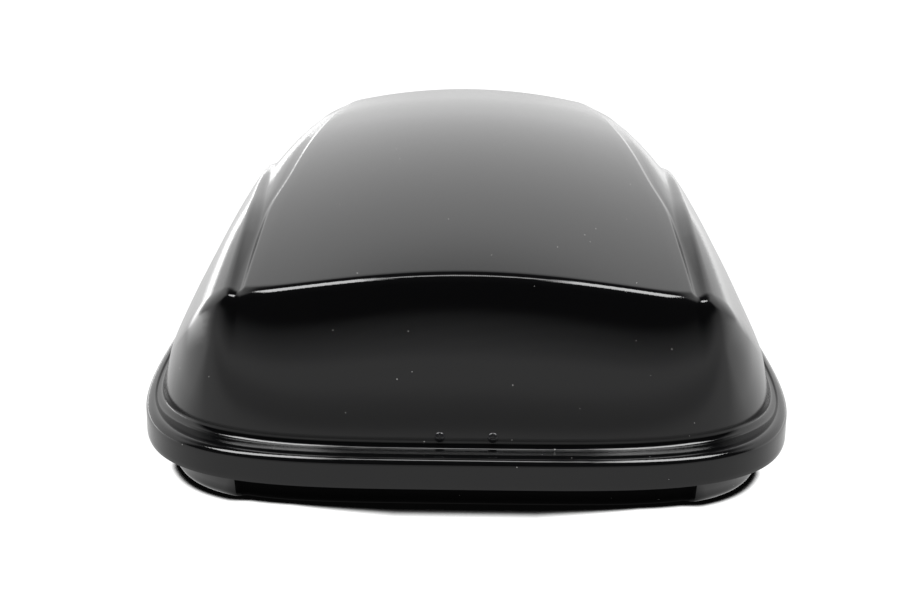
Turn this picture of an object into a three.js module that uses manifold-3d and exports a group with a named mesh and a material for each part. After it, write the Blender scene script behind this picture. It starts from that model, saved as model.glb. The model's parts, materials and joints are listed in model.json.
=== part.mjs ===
// Roof box with a one-piece lid hinged on its left side, modelled closed and unlocked.
// X points right, Y forward along the box, Z up. The origin is on the ground under the middle.

import * as THREE from 'three';
import { mergeVertices } from 'three/addons/utils/BufferGeometryUtils.js';
import Module from 'manifold-3d';

const wasm = await Module();
wasm.setup();

// Driving dimensions in millimetres and degrees
const BOX_LENGTH = 1800;
const BOX_WIDTH = 800;
const SHEET = 4;              // wall of the formed lid and tray
const CLEAR = 0.3;            // gap between pieces that touch
const PIVOT_CLEAR = 0.3;      // gap round a pin in its bore

const LENGTH_HALF = BOX_LENGTH / 2;
const WIDTH_HALF = BOX_WIDTH / 2;

const RIM = { rearPower: [3.9, 8.2], frontPower: [2.5, 6], rearShare: 0.985, frontShare: 0.79 };
const STRAIGHT = { rear: -0.278 * LENGTH_HALF, front: 0.111 * LENGTH_HALF };
const SKIRT = { low: 60.3, round: 8 };
const LEDGE_TOP = 94.8;
const TROUGH_ROUND = 7;

// Insets from the rim at the rear, the sides and the front
const LEDGE_IN = [33, 11, 24];
const FOOT_IN = [40, 18, 31];
const EDGE_IN = [64, 26, 200];

const SPINE = { top: 363, topAt: -0.164 * LENGTH_HALF, rear: 283, front: 240, fall: 2.1 };
const NOSE = { from: 0.4, drop: 150 };
const CROWN = { drop: 37, half: 0.655 * WIDTH_HALF };
const PANEL = {
  mid: 0.5825 * WIDTH_HALF,
  waist: 0.0525 * WIDTH_HALF,
  rearFlare: 0.03 * WIDTH_HALF,
  nose: 0.145 * WIDTH_HALF,
};
const GROOVE = {
  rear: 0.6325 * WIDTH_HALF,
  spread: 0.065 * WIDTH_HALF,
  sweep: 0.1375 * WIDTH_HALF,
  panelGap: 9,
  sideGap: 34,
};
const SHOULDER = { inner: 1.85, outer: 0.75, footIn: 14, rear: 96, mid: 148, front: 104, taperFrom: STRAIGHT.rear };
const SHELF = { step: 4.5, wide: 8 };
const FENDER = { lift: 9, wide: 20 };
const EDGE_ROUND = { rear: 12, front: 80 };

const clamp = (value, low, high) => Math.min(Math.max(value, low), high);
const mix = (a, b, t) => a + (b - a) * t;

function ease(t) {
  const k = clamp(t, 0, 1);
  return k * k * (3 - 2 * k);
}

// Share of the full width left at a place along the box
function taper(y, frontFrom) {
  const front = Math.max(y - frontFrom, 0) / (LENGTH_HALF - frontFrom);
  const rear = Math.max(STRAIGHT.rear - y, 0) / (LENGTH_HALF + STRAIGHT.rear);
  return 1 - (1 - RIM.frontShare) * front ** 2 - (1 - RIM.rearShare) * rear ** 2;
}

// Point of the rim outline at an angle, moved in by the rear, side and front insets
function outline(angle, inset, rearPower = RIM.rearPower) {
  const c = Math.cos(angle);
  const s = Math.sin(angle);
  const [widthPower, lengthPower] = s < 0 ? rearPower : RIM.frontPower;
  const reach = LENGTH_HALF - (s < 0 ? inset[0] : inset[2]);
  const y = reach * Math.sign(s) * Math.abs(s) ** (2 / lengthPower);
  const half = WIDTH_HALF * taper(y, STRAIGHT.front) - inset[1];
  return [half * Math.sign(c) * Math.abs(c) ** (2 / widthPower), y];
}

// Angle of the outline point with a given y on the right side
function angleAtY(y, inset) {
  const power = y < 0 ? RIM.rearPower[1] : RIM.frontPower[1];
  const reach = LENGTH_HALF - (y < 0 ? inset[0] : inset[2]);
  return Math.sign(y) * Math.asin(clamp(Math.abs(y) / reach, 0, 1) ** (power / 2));
}

// Half width of the rim at y, moved in by the insets
function rimHalf(y, inset) {
  return outline(angleAtY(y, inset), inset)[0];
}

function spineHeight(y) {
  const front = Math.max(y - SPINE.topAt, 0) / (LENGTH_HALF - SPINE.topAt);
  const rear = Math.max(SPINE.topAt - y, 0) / (LENGTH_HALF - EDGE_IN[0] + SPINE.topAt);
  const nose = clamp((y / LENGTH_HALF - NOSE.from) / (1 - NOSE.from), 0, 1);
  const fall = (SPINE.top - SPINE.front) * front ** SPINE.fall + (SPINE.top - SPINE.rear) * rear ** 2;
  return SPINE.top - fall - NOSE.drop * nose ** 2;
}

function panelHalf(y) {
  const along = y / LENGTH_HALF;
  const waist = PANEL.waist * clamp((along + 0.478) / 0.589, 0, 1);
  const nose = PANEL.nose * clamp((along - 0.111) / 0.889, 0, 1) ** 1.3;
  return PANEL.mid - waist - nose + PANEL.rearFlare * (1 - ease((along + 0.656) / 0.2));
}

function grooveHalf(y, sideX) {
  const along = y / LENGTH_HALF;
  const spread = GROOVE.spread * ease((along + 0.778) / 0.556);
  const sweep = GROOVE.sweep * clamp((along + 0.389) / 0.556, 0, 2) ** 2;
  const groove = Math.max(GROOVE.rear + spread + sweep, panelHalf(y) + GROOVE.panelGap);
  return Math.min(groove, sideX - GROOVE.sideGap);
}

function shoulderFoot(y) {
  const along = y / LENGTH_HALF;
  const rise = (SHOULDER.mid - SHOULDER.rear) * ease((along + 1) / 0.778);
  return SHOULDER.rear + rise - (SHOULDER.mid - SHOULDER.front) * clamp(along, 0, 1) ** 2;
}

// Step down from the panel to the shelf, and the fender that rises beyond the groove
function relief(across, y, panel, groove, foot) {
  const along = y / LENGTH_HALF;
  const stepFade = 1 - ease((along - 0.278) / 0.333);
  const fenderFade = (1 - ease((along + 0.067) / 0.4)) * ease((along + 0.956) / 0.289);
  const step = SHELF.step * stepFade * ease((across - panel) / SHELF.wide);
  const lift = (SHELF.step * stepFade + FENDER.lift * fenderFade) * ease((across - groove) / (FENDER.wide - 2));
  const outward = clamp((across - groove) / (foot - groove), 0, 1);
  return lift * (1 - outward ** 2) ** 1.2 - step;
}

// Height of the lid's outer surface
function lidTop(x, y, groove) {
  const across = Math.abs(x);
  const panel = panelHalf(y);
  const spine = spineHeight(y);
  if (across <= panel) {
    return spine - CROWN.drop * (across / CROWN.half) ** 2;
  }
  const panelEdge = spine - CROWN.drop * (panel / CROWN.half) ** 2;
  const foot = WIDTH_HALF * taper(y, SHOULDER.taperFrom) - SHOULDER.footIn;
  const low = shoulderFoot(y);
  const t = clamp((across - panel) / (foot - panel), 0, 1);
  const hull = low + (panelEdge - low) * (1 - t ** SHOULDER.inner) ** (1 / SHOULDER.outer);
  return hull + relief(across, y, panel, groove, foot);
}

function edgeRound(y) {
  return mix(EDGE_ROUND.rear, EDGE_ROUND.front, ease((y / LENGTH_HALF - 0.111) / 0.667));
}

function topInset(y) {
  return EDGE_IN.map((value) => value + edgeRound(y));
}

// Closed body from points and triangles
function bodyGeometry(points, triangles) {
  const geometry = new THREE.BufferGeometry();
  geometry.setAttribute('position', new THREE.Float32BufferAttribute(points.flat(), 3));
  geometry.setIndex(triangles.flat());
  return geometry;
}

// Two triangles for each step between two closed loops of the same length
function bridge(triangles, lower, upper, count) {
  for (let i = 0; i < count; i += 1) {
    const next = (i + 1) % count;
    triangles.push([lower + i, lower + next, upper + next], [lower + i, upper + next, upper + i]);
  }
}

function toSolid(geometry) {
  const bare = geometry.clone();
  bare.deleteAttribute('normal');
  bare.deleteAttribute('uv');
  const merged = mergeVertices(bare, 1e-4);
  return new wasm.Manifold(new wasm.Mesh({
    numProp: 3,
    vertProperties: new Float32Array(merged.attributes.position.array),
    triVerts: new Uint32Array(merged.index.array),
  }));
}

function fromSolid(solid) {
  const mesh = solid.getMesh();
  const geometry = new THREE.BufferGeometry();
  geometry.setAttribute('position', new THREE.BufferAttribute(new Float32Array(mesh.vertProperties), 3));
  geometry.setIndex(new THREE.BufferAttribute(new Uint32Array(mesh.triVerts), 1));
  return geometry;
}

function cut(geometry, tools) {
  return fromSolid(tools.reduce((solid, tool) => solid.subtract(toSolid(tool)), toSolid(geometry)));
}

function join(geometries) {
  return fromSolid(geometries.slice(1).reduce((solid, piece) => solid.add(toSolid(piece)), toSolid(geometries[0])));
}

function box(x0, x1, y0, y1, z0, z1) {
  const geometry = new THREE.BoxGeometry(x1 - x0, y1 - y0, z1 - z0);
  return geometry.translate((x0 + x1) / 2, (y0 + y1) / 2, (z0 + z1) / 2);
}

// Cylinder along y
function barY(radius, y0, y1, x, z, sides = 24) {
  return new THREE.CylinderGeometry(radius, radius, y1 - y0, sides).translate(x, (y0 + y1) / 2, z);
}

// Cylinder along x
function barX(radius, x0, x1, y, z, sides = 24) {
  const geometry = new THREE.CylinderGeometry(radius, radius, x1 - x0, sides).rotateZ(Math.PI / 2);
  return geometry.translate((x0 + x1) / 2, y, z);
}

// Flat outline in the XZ plane, made thick along y
function plateXZ(points, y0, y1) {
  const shape = new THREE.Shape(points.map(([x, z]) => new THREE.Vector2(x, z)));
  const geometry = new THREE.ExtrudeGeometry(shape, { depth: y1 - y0, bevelEnabled: false });
  return geometry.rotateX(Math.PI / 2).translate(0, y1, 0);
}

// Flat outline in the YZ plane, made thick along x
function plateYZ(points, x0, x1, holes = []) {
  const shape = new THREE.Shape(points.map(([y, z]) => new THREE.Vector2(y, z)));
  holes.forEach((hole) => shape.holes.push(new THREE.Path(hole.map(([y, z]) => new THREE.Vector2(y, z)))));
  const geometry = new THREE.ExtrudeGeometry(shape, { depth: x1 - x0, bevelEnabled: false, curveSegments: 6 });
  return geometry.rotateY(Math.PI / 2).rotateX(Math.PI / 2).translate(x0, 0, 0);
}

const blackShell = new THREE.MeshStandardMaterial({ color: 0x1b1c1e, roughness: 0.34, metalness: 0 });
const blackPlastic = new THREE.MeshStandardMaterial({ color: 0x17181a, roughness: 0.55, metalness: 0 });
const steel = new THREE.MeshStandardMaterial({ color: 0xb9bcc0, roughness: 0.36, metalness: 1 });
const darkSteel = new THREE.MeshStandardMaterial({ color: 0x26282b, roughness: 0.42, metalness: 0.8 });

const roofBox = new THREE.Group();

function add(name, geometry, material) {
  const mesh = new THREE.Mesh(geometry, material);
  mesh.name = name;
  roofBox.add(mesh);
  return mesh;
}

// Lid: columns across the top follow the panel edge, the shelf, the groove and the fender
const TOP_ROWS = 18;
const REAR_CORNER = -35 * Math.PI / 180;
const FRONT_CORNER = 38 * Math.PI / 180;
const COLUMNS = [
  { zone: 'panel', at: 0 }, { zone: 'panel', at: 0.36 }, { zone: 'panel', at: 0.72 }, { zone: 'panel', at: 1 },
  { zone: 'shelf', at: 0 }, { zone: 'shelf', at: 1 },
  { zone: 'fender', at: 0.5 }, { zone: 'fender', at: 1 },
  { zone: 'side', at: 0.3 }, { zone: 'side', at: 0.6 }, { zone: 'side', at: 0.82 }, { zone: 'side', at: 1 },
];

function columnX(column, y, sideX) {
  const panel = panelHalf(y);
  const groove = grooveHalf(y, sideX);
  if (column.zone === 'panel') {
    return panel * column.at;
  }
  if (column.zone === 'shelf') {
    return mix(panel + SHELF.wide, groove, column.at);
  }
  if (column.zone === 'fender') {
    return groove + FENDER.wide * column.at;
  }
  return mix(groove + FENDER.wide, sideX, column.at);
}

// Place where a column meets the rear or front end of the top, with its outline angle
function columnEnd(column, front) {
  const corner = front ? FRONT_CORNER : REAR_CORNER;
  let y = front ? LENGTH_HALF - EDGE_IN[2] : EDGE_IN[0] - LENGTH_HALF;
  const sideX = outline(corner, topInset(outline(corner, EDGE_IN)[1]))[0];
  let angle = corner;
  for (let step = 0; step < 30; step += 1) {
    const x = columnX(column, y, sideX);
    const inset = topInset(y);
    const power = (front ? RIM.frontPower : RIM.rearPower)[0];
    const half = WIDTH_HALF * taper(y, STRAIGHT.front) - inset[1];
    const c = clamp(x / half, 0, 1) ** (power / 2);
    angle = (front ? 1 : -1) * Math.acos(c);
    y = outline(angle, inset)[1];
  }
  return { angle, y, sideX };
}

function lidGrid() {
  const rear = COLUMNS.map((column) => columnEnd(column, false));
  const front = COLUMNS.map((column) => columnEnd(column, true));
  const last = COLUMNS.length - 1;
  const rows = [];
  for (let i = 0; i <= TOP_ROWS; i += 1) {
    const v = i / TOP_ROWS;
    const sideY = mix(rear[last].y, front[last].y, v);
    const sideAngle = angleAtY(sideY, topInset(sideY));
    const sideX = outline(sideAngle, topInset(sideY))[0];
    const half = COLUMNS.map((column, j) => {
      const y = mix(rear[j].y, front[j].y, v);
      const x = columnX(column, y, sideX);
      return [x, y, lidTop(x, y, grooveHalf(y, sideX))];
    });
    const mirrored = half.slice(1).reverse().map(([x, y, z]) => [-x, y, z]);
    rows.push({ points: [...mirrored, ...half], sideAngle, sideX });
  }
  return { rows, rearAngles: rear.map((end) => end.angle), frontAngles: front.map((end) => end.angle) };
}

// Angles and grid places once round the top, from the rear left corner over the rear end
function lidLoop(grid) {
  const across = 2 * (COLUMNS.length - 1);
  const mirror = (angle) => Math.PI - angle;
  const rear = [...grid.rearAngles.slice(1).reverse().map(mirror), ...grid.rearAngles];
  const front = grid.frontAngles.slice(1).reverse().map(mirror).concat(grid.frontAngles);
  const loop = [];
  for (let j = 0; j < across; j += 1) {
    loop.push({ angle: rear[j], row: 0, column: j });
  }
  for (let i = 0; i < TOP_ROWS; i += 1) {
    loop.push({ angle: grid.rows[i].sideAngle, row: i, column: across });
  }
  for (let j = across; j > 0; j -= 1) {
    loop.push({ angle: front[j], row: TOP_ROWS, column: j });
  }
  for (let i = TOP_ROWS; i > 0; i -= 1) {
    loop.push({ angle: mirror(grid.rows[i].sideAngle), row: i, column: 0 });
  }
  return loop;
}

function lidOuterLoops(grid, loop) {
  const flat = (inset, z) => loop.map(({ angle }) => [...outline(angle, inset), z]);
  const all = (value) => [value, value, value];
  const bend = SKIRT.round * (1 - Math.SQRT1_2);
  const foot = flat(FOOT_IN, LEDGE_TOP + TROUGH_ROUND);
  const edge = loop.map(({ angle, row }) => {
    const [x, y] = outline(angle, EDGE_IN);
    return [x, y, lidTop(x, y, grooveHalf(y, grid.rows[row].sideX))];
  });
  const rounded = edge.map((corner, k) => {
    const gridPoint = grid.rows[loop[k].row].points[loop[k].column];
    const down = new THREE.Vector3(...foot[k]).sub(new THREE.Vector3(...corner));
    const drop = Math.min(edgeRound(corner[1]), 0.6 * down.length());
    const start = new THREE.Vector3(...corner).addScaledVector(down.normalize(), drop);
    return new THREE.QuadraticBezierCurve3(start, new THREE.Vector3(...corner), new THREE.Vector3(...gridPoint));
  });
  const start = rounded.map((curve) => curve.getPoint(0).toArray());
  const between = (t) => foot.map((low, k) => low.map((value, axis) => mix(value, start[k][axis], t)));
  const trough = [0.33, 0.67].map((t) => foot.map((high, k) => {
    const low = outline(loop[k].angle, LEDGE_IN);
    const side = 2 * t - t * t;
    return [mix(low[0], high[0], side), mix(low[1], high[1], side), LEDGE_TOP + TROUGH_ROUND * t * t];
  }));
  return [
    flat(all(0), SKIRT.low),
    flat(all(0), LEDGE_TOP - SKIRT.round),
    flat(all(bend), LEDGE_TOP - bend),
    flat(all(SKIRT.round), LEDGE_TOP),
    flat(LEDGE_IN, LEDGE_TOP),
    ...trough,
    foot,
    between(0.5),
    start,
    rounded.map((curve) => curve.getPoint(0.35).toArray()),
    rounded.map((curve) => curve.getPoint(0.7).toArray()),
  ];
}

function lidSurface() {
  const grid = lidGrid();
  const loop = lidLoop(grid);
  const loops = lidOuterLoops(grid, loop);
  const count = loop.length;
  const across = 2 * (COLUMNS.length - 1) + 1;
  const points = [...loops.flat(), ...grid.rows.flatMap((row) => row.points)];
  const gridStart = loops.length * count;
  const gridIndex = (row, column) => gridStart + row * across + column;
  const triangles = [];
  for (let k = 0; k < loops.length - 1; k += 1) {
    bridge(triangles, k * count, (k + 1) * count, count);
  }
  const lastLoop = (loops.length - 1) * count;
  for (let k = 0; k < count; k += 1) {
    const next = (k + 1) % count;
    const here = gridIndex(loop[k].row, loop[k].column);
    const there = gridIndex(loop[next].row, loop[next].column);
    triangles.push([lastLoop + k, lastLoop + next, there], [lastLoop + k, there, here]);
  }
  for (let i = 0; i < TOP_ROWS; i += 1) {
    for (let j = 0; j < across - 1; j += 1) {
      const corners = [gridIndex(i, j), gridIndex(i, j + 1), gridIndex(i + 1, j + 1), gridIndex(i + 1, j)];
      triangles.push([corners[0], corners[1], corners[2]], [corners[0], corners[2], corners[3]]);
    }
  }
  return { points, triangles, count };
}

// The lid's surface moved inwards; the skirt's rows only move sideways
function movedIn({ points, triangles, count }, distance) {
  const surface = bodyGeometry(points, triangles);
  surface.computeVertexNormals();
  const normals = surface.attributes.normal;
  return points.map(([x, y, z], i) => {
    const skirt = i < 2 * count;
    const side = skirt ? distance / Math.hypot(normals.getX(i), normals.getY(i)) : distance;
    return [x - side * normals.getX(i), y - side * normals.getY(i), skirt ? z : z - distance * normals.getZ(i)];
  });
}

// Outer surface, the inner one, and the ring that joins them under the skirt
function lidShellGeometry() {
  const outer = lidSurface();
  const inner = movedIn(outer, SHEET);
  const offset = inner.length;
  const flipped = outer.triangles.map(([a, b, c]) => [a + offset, c + offset, b + offset]);
  const ring = [];
  bridge(ring, offset, 0, outer.count);
  return bodyGeometry([...outer.points, ...inner], [...outer.triangles, ...flipped, ...ring]);
}

// Room inside the lid, which trims the pieces that sit against its walls
function lidRoomGeometry() {
  const outer = lidSurface();
  const room = movedIn(outer, SHEET + CLEAR);
  const middle = room.push([0, 0, SKIRT.low]) - 1;
  const floor = Array.from({ length: outer.count }, (_, k) => [middle, (k + 1) % outer.count, k]);
  return bodyGeometry(room, [...outer.triangles, ...floor]);
}
const lidRoom = toSolid(lidRoomGeometry());

function seatInLid(geometry) {
  return fromSolid(toSolid(geometry).intersect(lidRoom));
}

// Side wall of the lid above the trough, as its outer x at a height
function lidWallX(y, z) {
  const low = LEDGE_TOP + TROUGH_ROUND;
  const edge = rimHalf(y, EDGE_IN);
  const high = lidTop(edge, y, grooveHalf(y, edge));
  return mix(rimHalf(y, FOOT_IN), edge, (z - low) / (high - low));
}

// Rear wall of the lid near the middle: outer y at a height, and its lean from upright
function lidRearY(x, z) {
  const low = LEDGE_TOP + TROUGH_ROUND;
  const high = SPINE.rear;
  const depth = (inset) => {
    const c = clamp(Math.abs(x) / (WIDTH_HALF * RIM.rearShare - inset[1]), 0, 1) ** (RIM.rearPower[0] / 2);
    return (LENGTH_HALF - inset[0]) * Math.sqrt(1 - c * c) ** (2 / RIM.rearPower[1]);
  };
  return -mix(depth(FOOT_IN), depth(EDGE_IN), (z - low) / (high - low));
}
const REAR_LEAN = Math.atan2(EDGE_IN[0] - FOOT_IN[0], SPINE.rear - LEDGE_TOP - TROUGH_ROUND);

// Screws low on the rear face
const SCREW = { apart: 58, z: 107, shank: 2, head: 4.8, headThick: 2.6, length: 13 };

function onRearFace(geometry, x) {
  const y = lidRearY(x, SCREW.z);
  return geometry.rotateX(-REAR_LEAN).translate(x, y, SCREW.z);
}

// Key lock in the right side of the lid
const LOCK_Y = -0.139 * LENGTH_HALF;
const KEY = { z: 138, radius: 9, arm: 25, pin: 2.5, turn: 90 };
const BAR = {
  x: WIDTH_HALF - 46, thick: 3, low: 96, high: 112, rear: LOCK_Y - 225, front: LOCK_Y + 275,
};
const BAR_TRAVEL = 2 * KEY.arm * Math.sin(THREE.MathUtils.degToRad(KEY.turn / 2));
const KEY_BORE = KEY.radius + PIVOT_CLEAR;

const lidBores = [
  barX(KEY_BORE, BAR.x + 10, WIDTH_HALF, LOCK_Y, KEY.z, 32),
  ...[-1, 1].map((side) => onRearFace(
    new THREE.CylinderGeometry(SCREW.shank + CLEAR, SCREW.shank + CLEAR, 30, 20), side * SCREW.apart / 2,
  )),
];
add('lid_shell', cut(lidShellGeometry(), lidBores), blackShell);

// Base: a formed tray with a flange and an upstand inside the lid's skirt
const TRAY = {
  floorIn: [90, 72, 100],
  topIn: [60, 52, 60],
  round: 12,
  flange: 64,
  upstandIn: 12,
  upstand: 84,
  recess: 8,
  recessHalf: 0.65 * WIDTH_HALF,
};
// The rear corners stand out as blocks: side insets at the floor and the top, and the corner's shape
const BLOCK = { floorIn: 22, topIn: 24, from: 0.66, fade: 0.1, power: 4.8 };
const FLANGE_TOP = TRAY.flange + SHEET;
const moreInset = (inset, extra) => inset.map((value) => value + extra);

// Angles once round the rim, evenly spaced across the ends and along the sides, with some places added
function rimAngles(across, along, endPlaces, sidePlaces) {
  const sideEnds = [REAR_CORNER, FRONT_CORNER].map((angle) => outline(angle, TRAY.floorIn)[1]);
  const ends = (corner, power, places) => places.map((place) => (
    Math.sign(corner) * Math.acos(clamp(place, 0, 1) ** (power / 2))
  ));
  const cornerShare = (corner, power) => Math.cos(corner) ** (2 / power);
  const rearTop = cornerShare(REAR_CORNER, RIM.rearPower[0]);
  const frontTop = cornerShare(FRONT_CORNER, RIM.frontPower[0]);
  const even = (top) => Array.from({ length: across }, (_, i) => (top * i) / across);
  const rearPlaces = [...even(rearTop), ...endPlaces].sort((a, b) => a - b);
  const rear = ends(REAR_CORNER, RIM.rearPower[0], rearPlaces);
  const front = ends(FRONT_CORNER, RIM.frontPower[0], even(frontTop)).reverse();
  const sideSteps = Array.from({ length: along + 1 }, (_, i) => mix(sideEnds[0], sideEnds[1], i / along));
  const side = [...sideSteps, ...sidePlaces].sort((a, b) => a - b).map((y) => angleAtY(y, TRAY.floorIn));
  const right = [...rear, ...side, ...front];
  const left = right.slice(1, -1).reverse().map((angle) => Math.PI - angle);
  return [...right, ...left];
}

function trayGeometry() {
  const half = WIDTH_HALF * RIM.rearShare - TRAY.floorIn[1];
  const recessPlaces = [TRAY.recessHalf - 6, TRAY.recessHalf + 6].map((x) => x / half);
  const blockPlaces = [0.15, 0.5, 0.85].map((k) => -(BLOCK.from + k * BLOCK.fade) * LENGTH_HALF);
  const angles = rimAngles(6, 9, recessPlaces, blockPlaces);
  const wall = (inset, blockIn, z) => angles.map((angle) => {
    const along = -outline(angle, inset)[1] / LENGTH_HALF;
    const block = ease((along - BLOCK.from) / BLOCK.fade);
    const power = [mix(RIM.rearPower[0], BLOCK.power, block), RIM.rearPower[1]];
    const [x, y] = outline(angle, [inset[0], mix(inset[1], blockIn, block), inset[2]], power);
    const hollow = y < -LENGTH_HALF / 2 ? 1 - ease((Math.abs(x) - TRAY.recessHalf + 6) / 12) : 0;
    return [x, y + TRAY.recess * hollow, z];
  });
  const floor = (extra, z) => wall(moreInset(TRAY.floorIn, extra), BLOCK.floorIn + extra, z);
  const top = (extra, z) => wall(moreInset(TRAY.topIn, extra), BLOCK.topIn + extra, z);
  const upstand = (inset, z) => angles.map((angle) => [...outline(angle, [inset, inset, inset]), z]);
  const inside = SHEET - 0.5;
  const loops = [
    floor(TRAY.round, 0),
    floor(TRAY.round * 0.3, TRAY.round * 0.3),
    floor(0, TRAY.round),
    top(0, TRAY.flange),
    upstand(TRAY.upstandIn + 1.5, TRAY.flange),
    upstand(TRAY.upstandIn, TRAY.flange + 1.5),
    upstand(TRAY.upstandIn, TRAY.upstand),
    upstand(TRAY.upstandIn + inside, TRAY.upstand),
    upstand(TRAY.upstandIn + inside, FLANGE_TOP),
    top(SHEET, FLANGE_TOP),
    floor(SHEET, TRAY.round + 2),
    floor(TRAY.round + 1, SHEET),
  ];
  const count = angles.length;
  const points = loops.flat();
  const triangles = [];
  for (let k = 0; k < loops.length - 1; k += 1) {
    bridge(triangles, k * count, (k + 1) * count, count);
  }
  const under = points.push([0, 0, 0]) - 1;
  const middle = points.push([0, 0, SHEET]) - 1;
  const last = (loops.length - 1) * count;
  for (let k = 0; k < count; k += 1) {
    const next = (k + 1) % count;
    triangles.push([under, next, k], [middle, last + k, last + next]);
  }
  return bodyGeometry(points, triangles);
}

// Long slot shape with round ends, made thick from z0 to z1; a lean narrows it upwards
function slotBody(x, y0, y1, wide, z0, z1, lean = 0) {
  const radius = wide / 2;
  const shape = new THREE.Shape();
  shape.absarc(x, y1 - radius, radius, 0, Math.PI);
  shape.absarc(x, y0 + radius, radius, Math.PI, 2 * Math.PI);
  shape.closePath();
  const geometry = new THREE.ExtrudeGeometry(shape, { depth: z1 - z0, bevelEnabled: false, curveSegments: 3 });
  if (lean > 0) {
    const place = geometry.attributes.position;
    const middle = (y0 + y1) / 2;
    for (let i = 0; i < place.count; i += 1) {
      if (place.getZ(i) > 0) {
        place.setX(i, x + (place.getX(i) - x) * (1 - lean / radius));
        place.setY(i, place.getY(i) - Math.sign(place.getY(i) - middle) * lean);
      }
    }
  }
  return geometry.translate(0, 0, z0);
}

// Raised beads stiffen the floor and leave flat bands where the roof bars touch
const BEAD = { apart: 105, wide: 34, high: 8, lean: 5 };
const BEAD_SPANS = [[-0.755, -0.5], [-0.29, 0.29], [0.5, 0.71]].map((span) => span.map((k) => k * LENGTH_HALF));
const beadPlaces = BEAD_SPANS.flatMap((span) => [-1, 0, 1].map((k) => ({ x: k * BEAD.apart, span })));
const RAIL_REACH = 0.622 * LENGTH_HALF;
const SLOT = { x: WIDTH_HALF - 165, wide: 22, near: RAIL_REACH - 350, far: RAIL_REACH - 80 };
const slotPlaces = [
  { name: 'rear_left', side: -1, span: [-SLOT.far, -SLOT.near] },
  { name: 'rear_right', side: 1, span: [-SLOT.far, -SLOT.near] },
  { name: 'front_left', side: -1, span: [SLOT.near, SLOT.far] },
  { name: 'front_right', side: 1, span: [SLOT.near, SLOT.far] },
];

const withBeads = join([
  trayGeometry(),
  ...beadPlaces.map(({ x, span }) => {
    return slotBody(x, span[0], span[1], BEAD.wide, SHEET / 2, SHEET + BEAD.high, BEAD.lean);
  }),
]);
add('base_shell', cut(withBeads, [
  ...beadPlaces.map(({ x, span }) => {
    const trim = SHEET;
    return slotBody(x, span[0] + trim, span[1] - trim, BEAD.wide - 2 * trim, -1, BEAD.high, BEAD.lean);
  }),
  ...slotPlaces.map(({ side, span }) => slotBody(side * SLOT.x, span[0], span[1], SLOT.wide, -5, SHEET + 5)),
]), blackShell);

// Steel channels that spread the clamps' load, with a cover in each clamp slot
const RAIL = { wide: 44, thick: 2.5, high: 12, floor: SHEET + CLEAR };

[-1, 1].forEach((side) => {
  const half = RAIL.wide / 2;
  const foot = RAIL.floor;
  const profile = [
    [-half, foot], [half, foot], [half, foot + RAIL.high], [half - RAIL.thick, foot + RAIL.high],
    [half - RAIL.thick, foot + RAIL.thick], [RAIL.thick - half, foot + RAIL.thick],
    [RAIL.thick - half, foot + RAIL.high], [-half, foot + RAIL.high],
  ].map(([x, z]) => [x + side * SLOT.x, z]);
  const channel = plateXZ(profile, -RAIL_REACH, RAIL_REACH);
  const slots = slotPlaces.filter((slot) => slot.side === side);
  add(`mounting_rail_${side < 0 ? 'left' : 'right'}`, cut(channel, slots.map(({ span }) => {
    return slotBody(side * SLOT.x, span[0], span[1], SLOT.wide, 0, RAIL.high);
  })), steel);
});

const COVER = { lip: 6, low: 0.6, thick: 2.5 };
slotPlaces.forEach(({ name, side, span }) => {
  const x = side * SLOT.x;
  const capLow = RAIL.floor + RAIL.thick + CLEAR;
  const stem = slotBody(x, span[0] + CLEAR, span[1] - CLEAR, SLOT.wide - 2 * CLEAR, COVER.low, capLow + 1);
  const capWide = SLOT.wide + 2 * COVER.lip;
  const cap = slotBody(x, span[0] - COVER.lip, span[1] + COVER.lip, capWide, capLow, capLow + COVER.thick);
  add(`slot_cover_${name}`, join([stem, cap]), blackPlastic);
});

// Hinges under the left edge of the skirt
const HINGE = { x: 7 - WIDTH_HALF, z: 52, barrel: 4.8, pin: 2.2, head: 3.6, leafHalf: 32, baseHalf: 12 };
const hingePlaces = { rear: -0.444 * LENGTH_HALF, middle: -0.167 * LENGTH_HALF, front: 0.111 * LENGTH_HALF };
const KNUCKLE_GAP = 0.4;
const OPEN_ANGLE = 52;

function hingeBore(y) {
  return barY(HINGE.pin + PIVOT_CLEAR, y - 60, y + 60, HINGE.x, HINGE.z, 20);
}

// Plate that follows the inside of the skirt on the left, between two heights
function skirtPlate(y0, y1, z0, z1, thick) {
  const steps = 4;
  const inset = SHEET + CLEAR;
  const points = [];
  const triangles = [];
  for (let i = 0; i <= steps; i += 1) {
    const y = mix(y0, y1, i / steps);
    const x = -rimHalf(y, [inset, inset, inset]);
    points.push([x, y, z0], [x + thick, y, z0], [x + thick, y, z1], [x, y, z1]);
  }
  for (let i = 0; i < steps; i += 1) {
    bridge(triangles, 4 * i + 4, 4 * i, 4);
  }
  const end = 4 * steps;
  triangles.push([0, 1, 2], [0, 2, 3], [end, end + 2, end + 1], [end, end + 3, end + 2]);
  return bodyGeometry(points, triangles);
}

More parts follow.
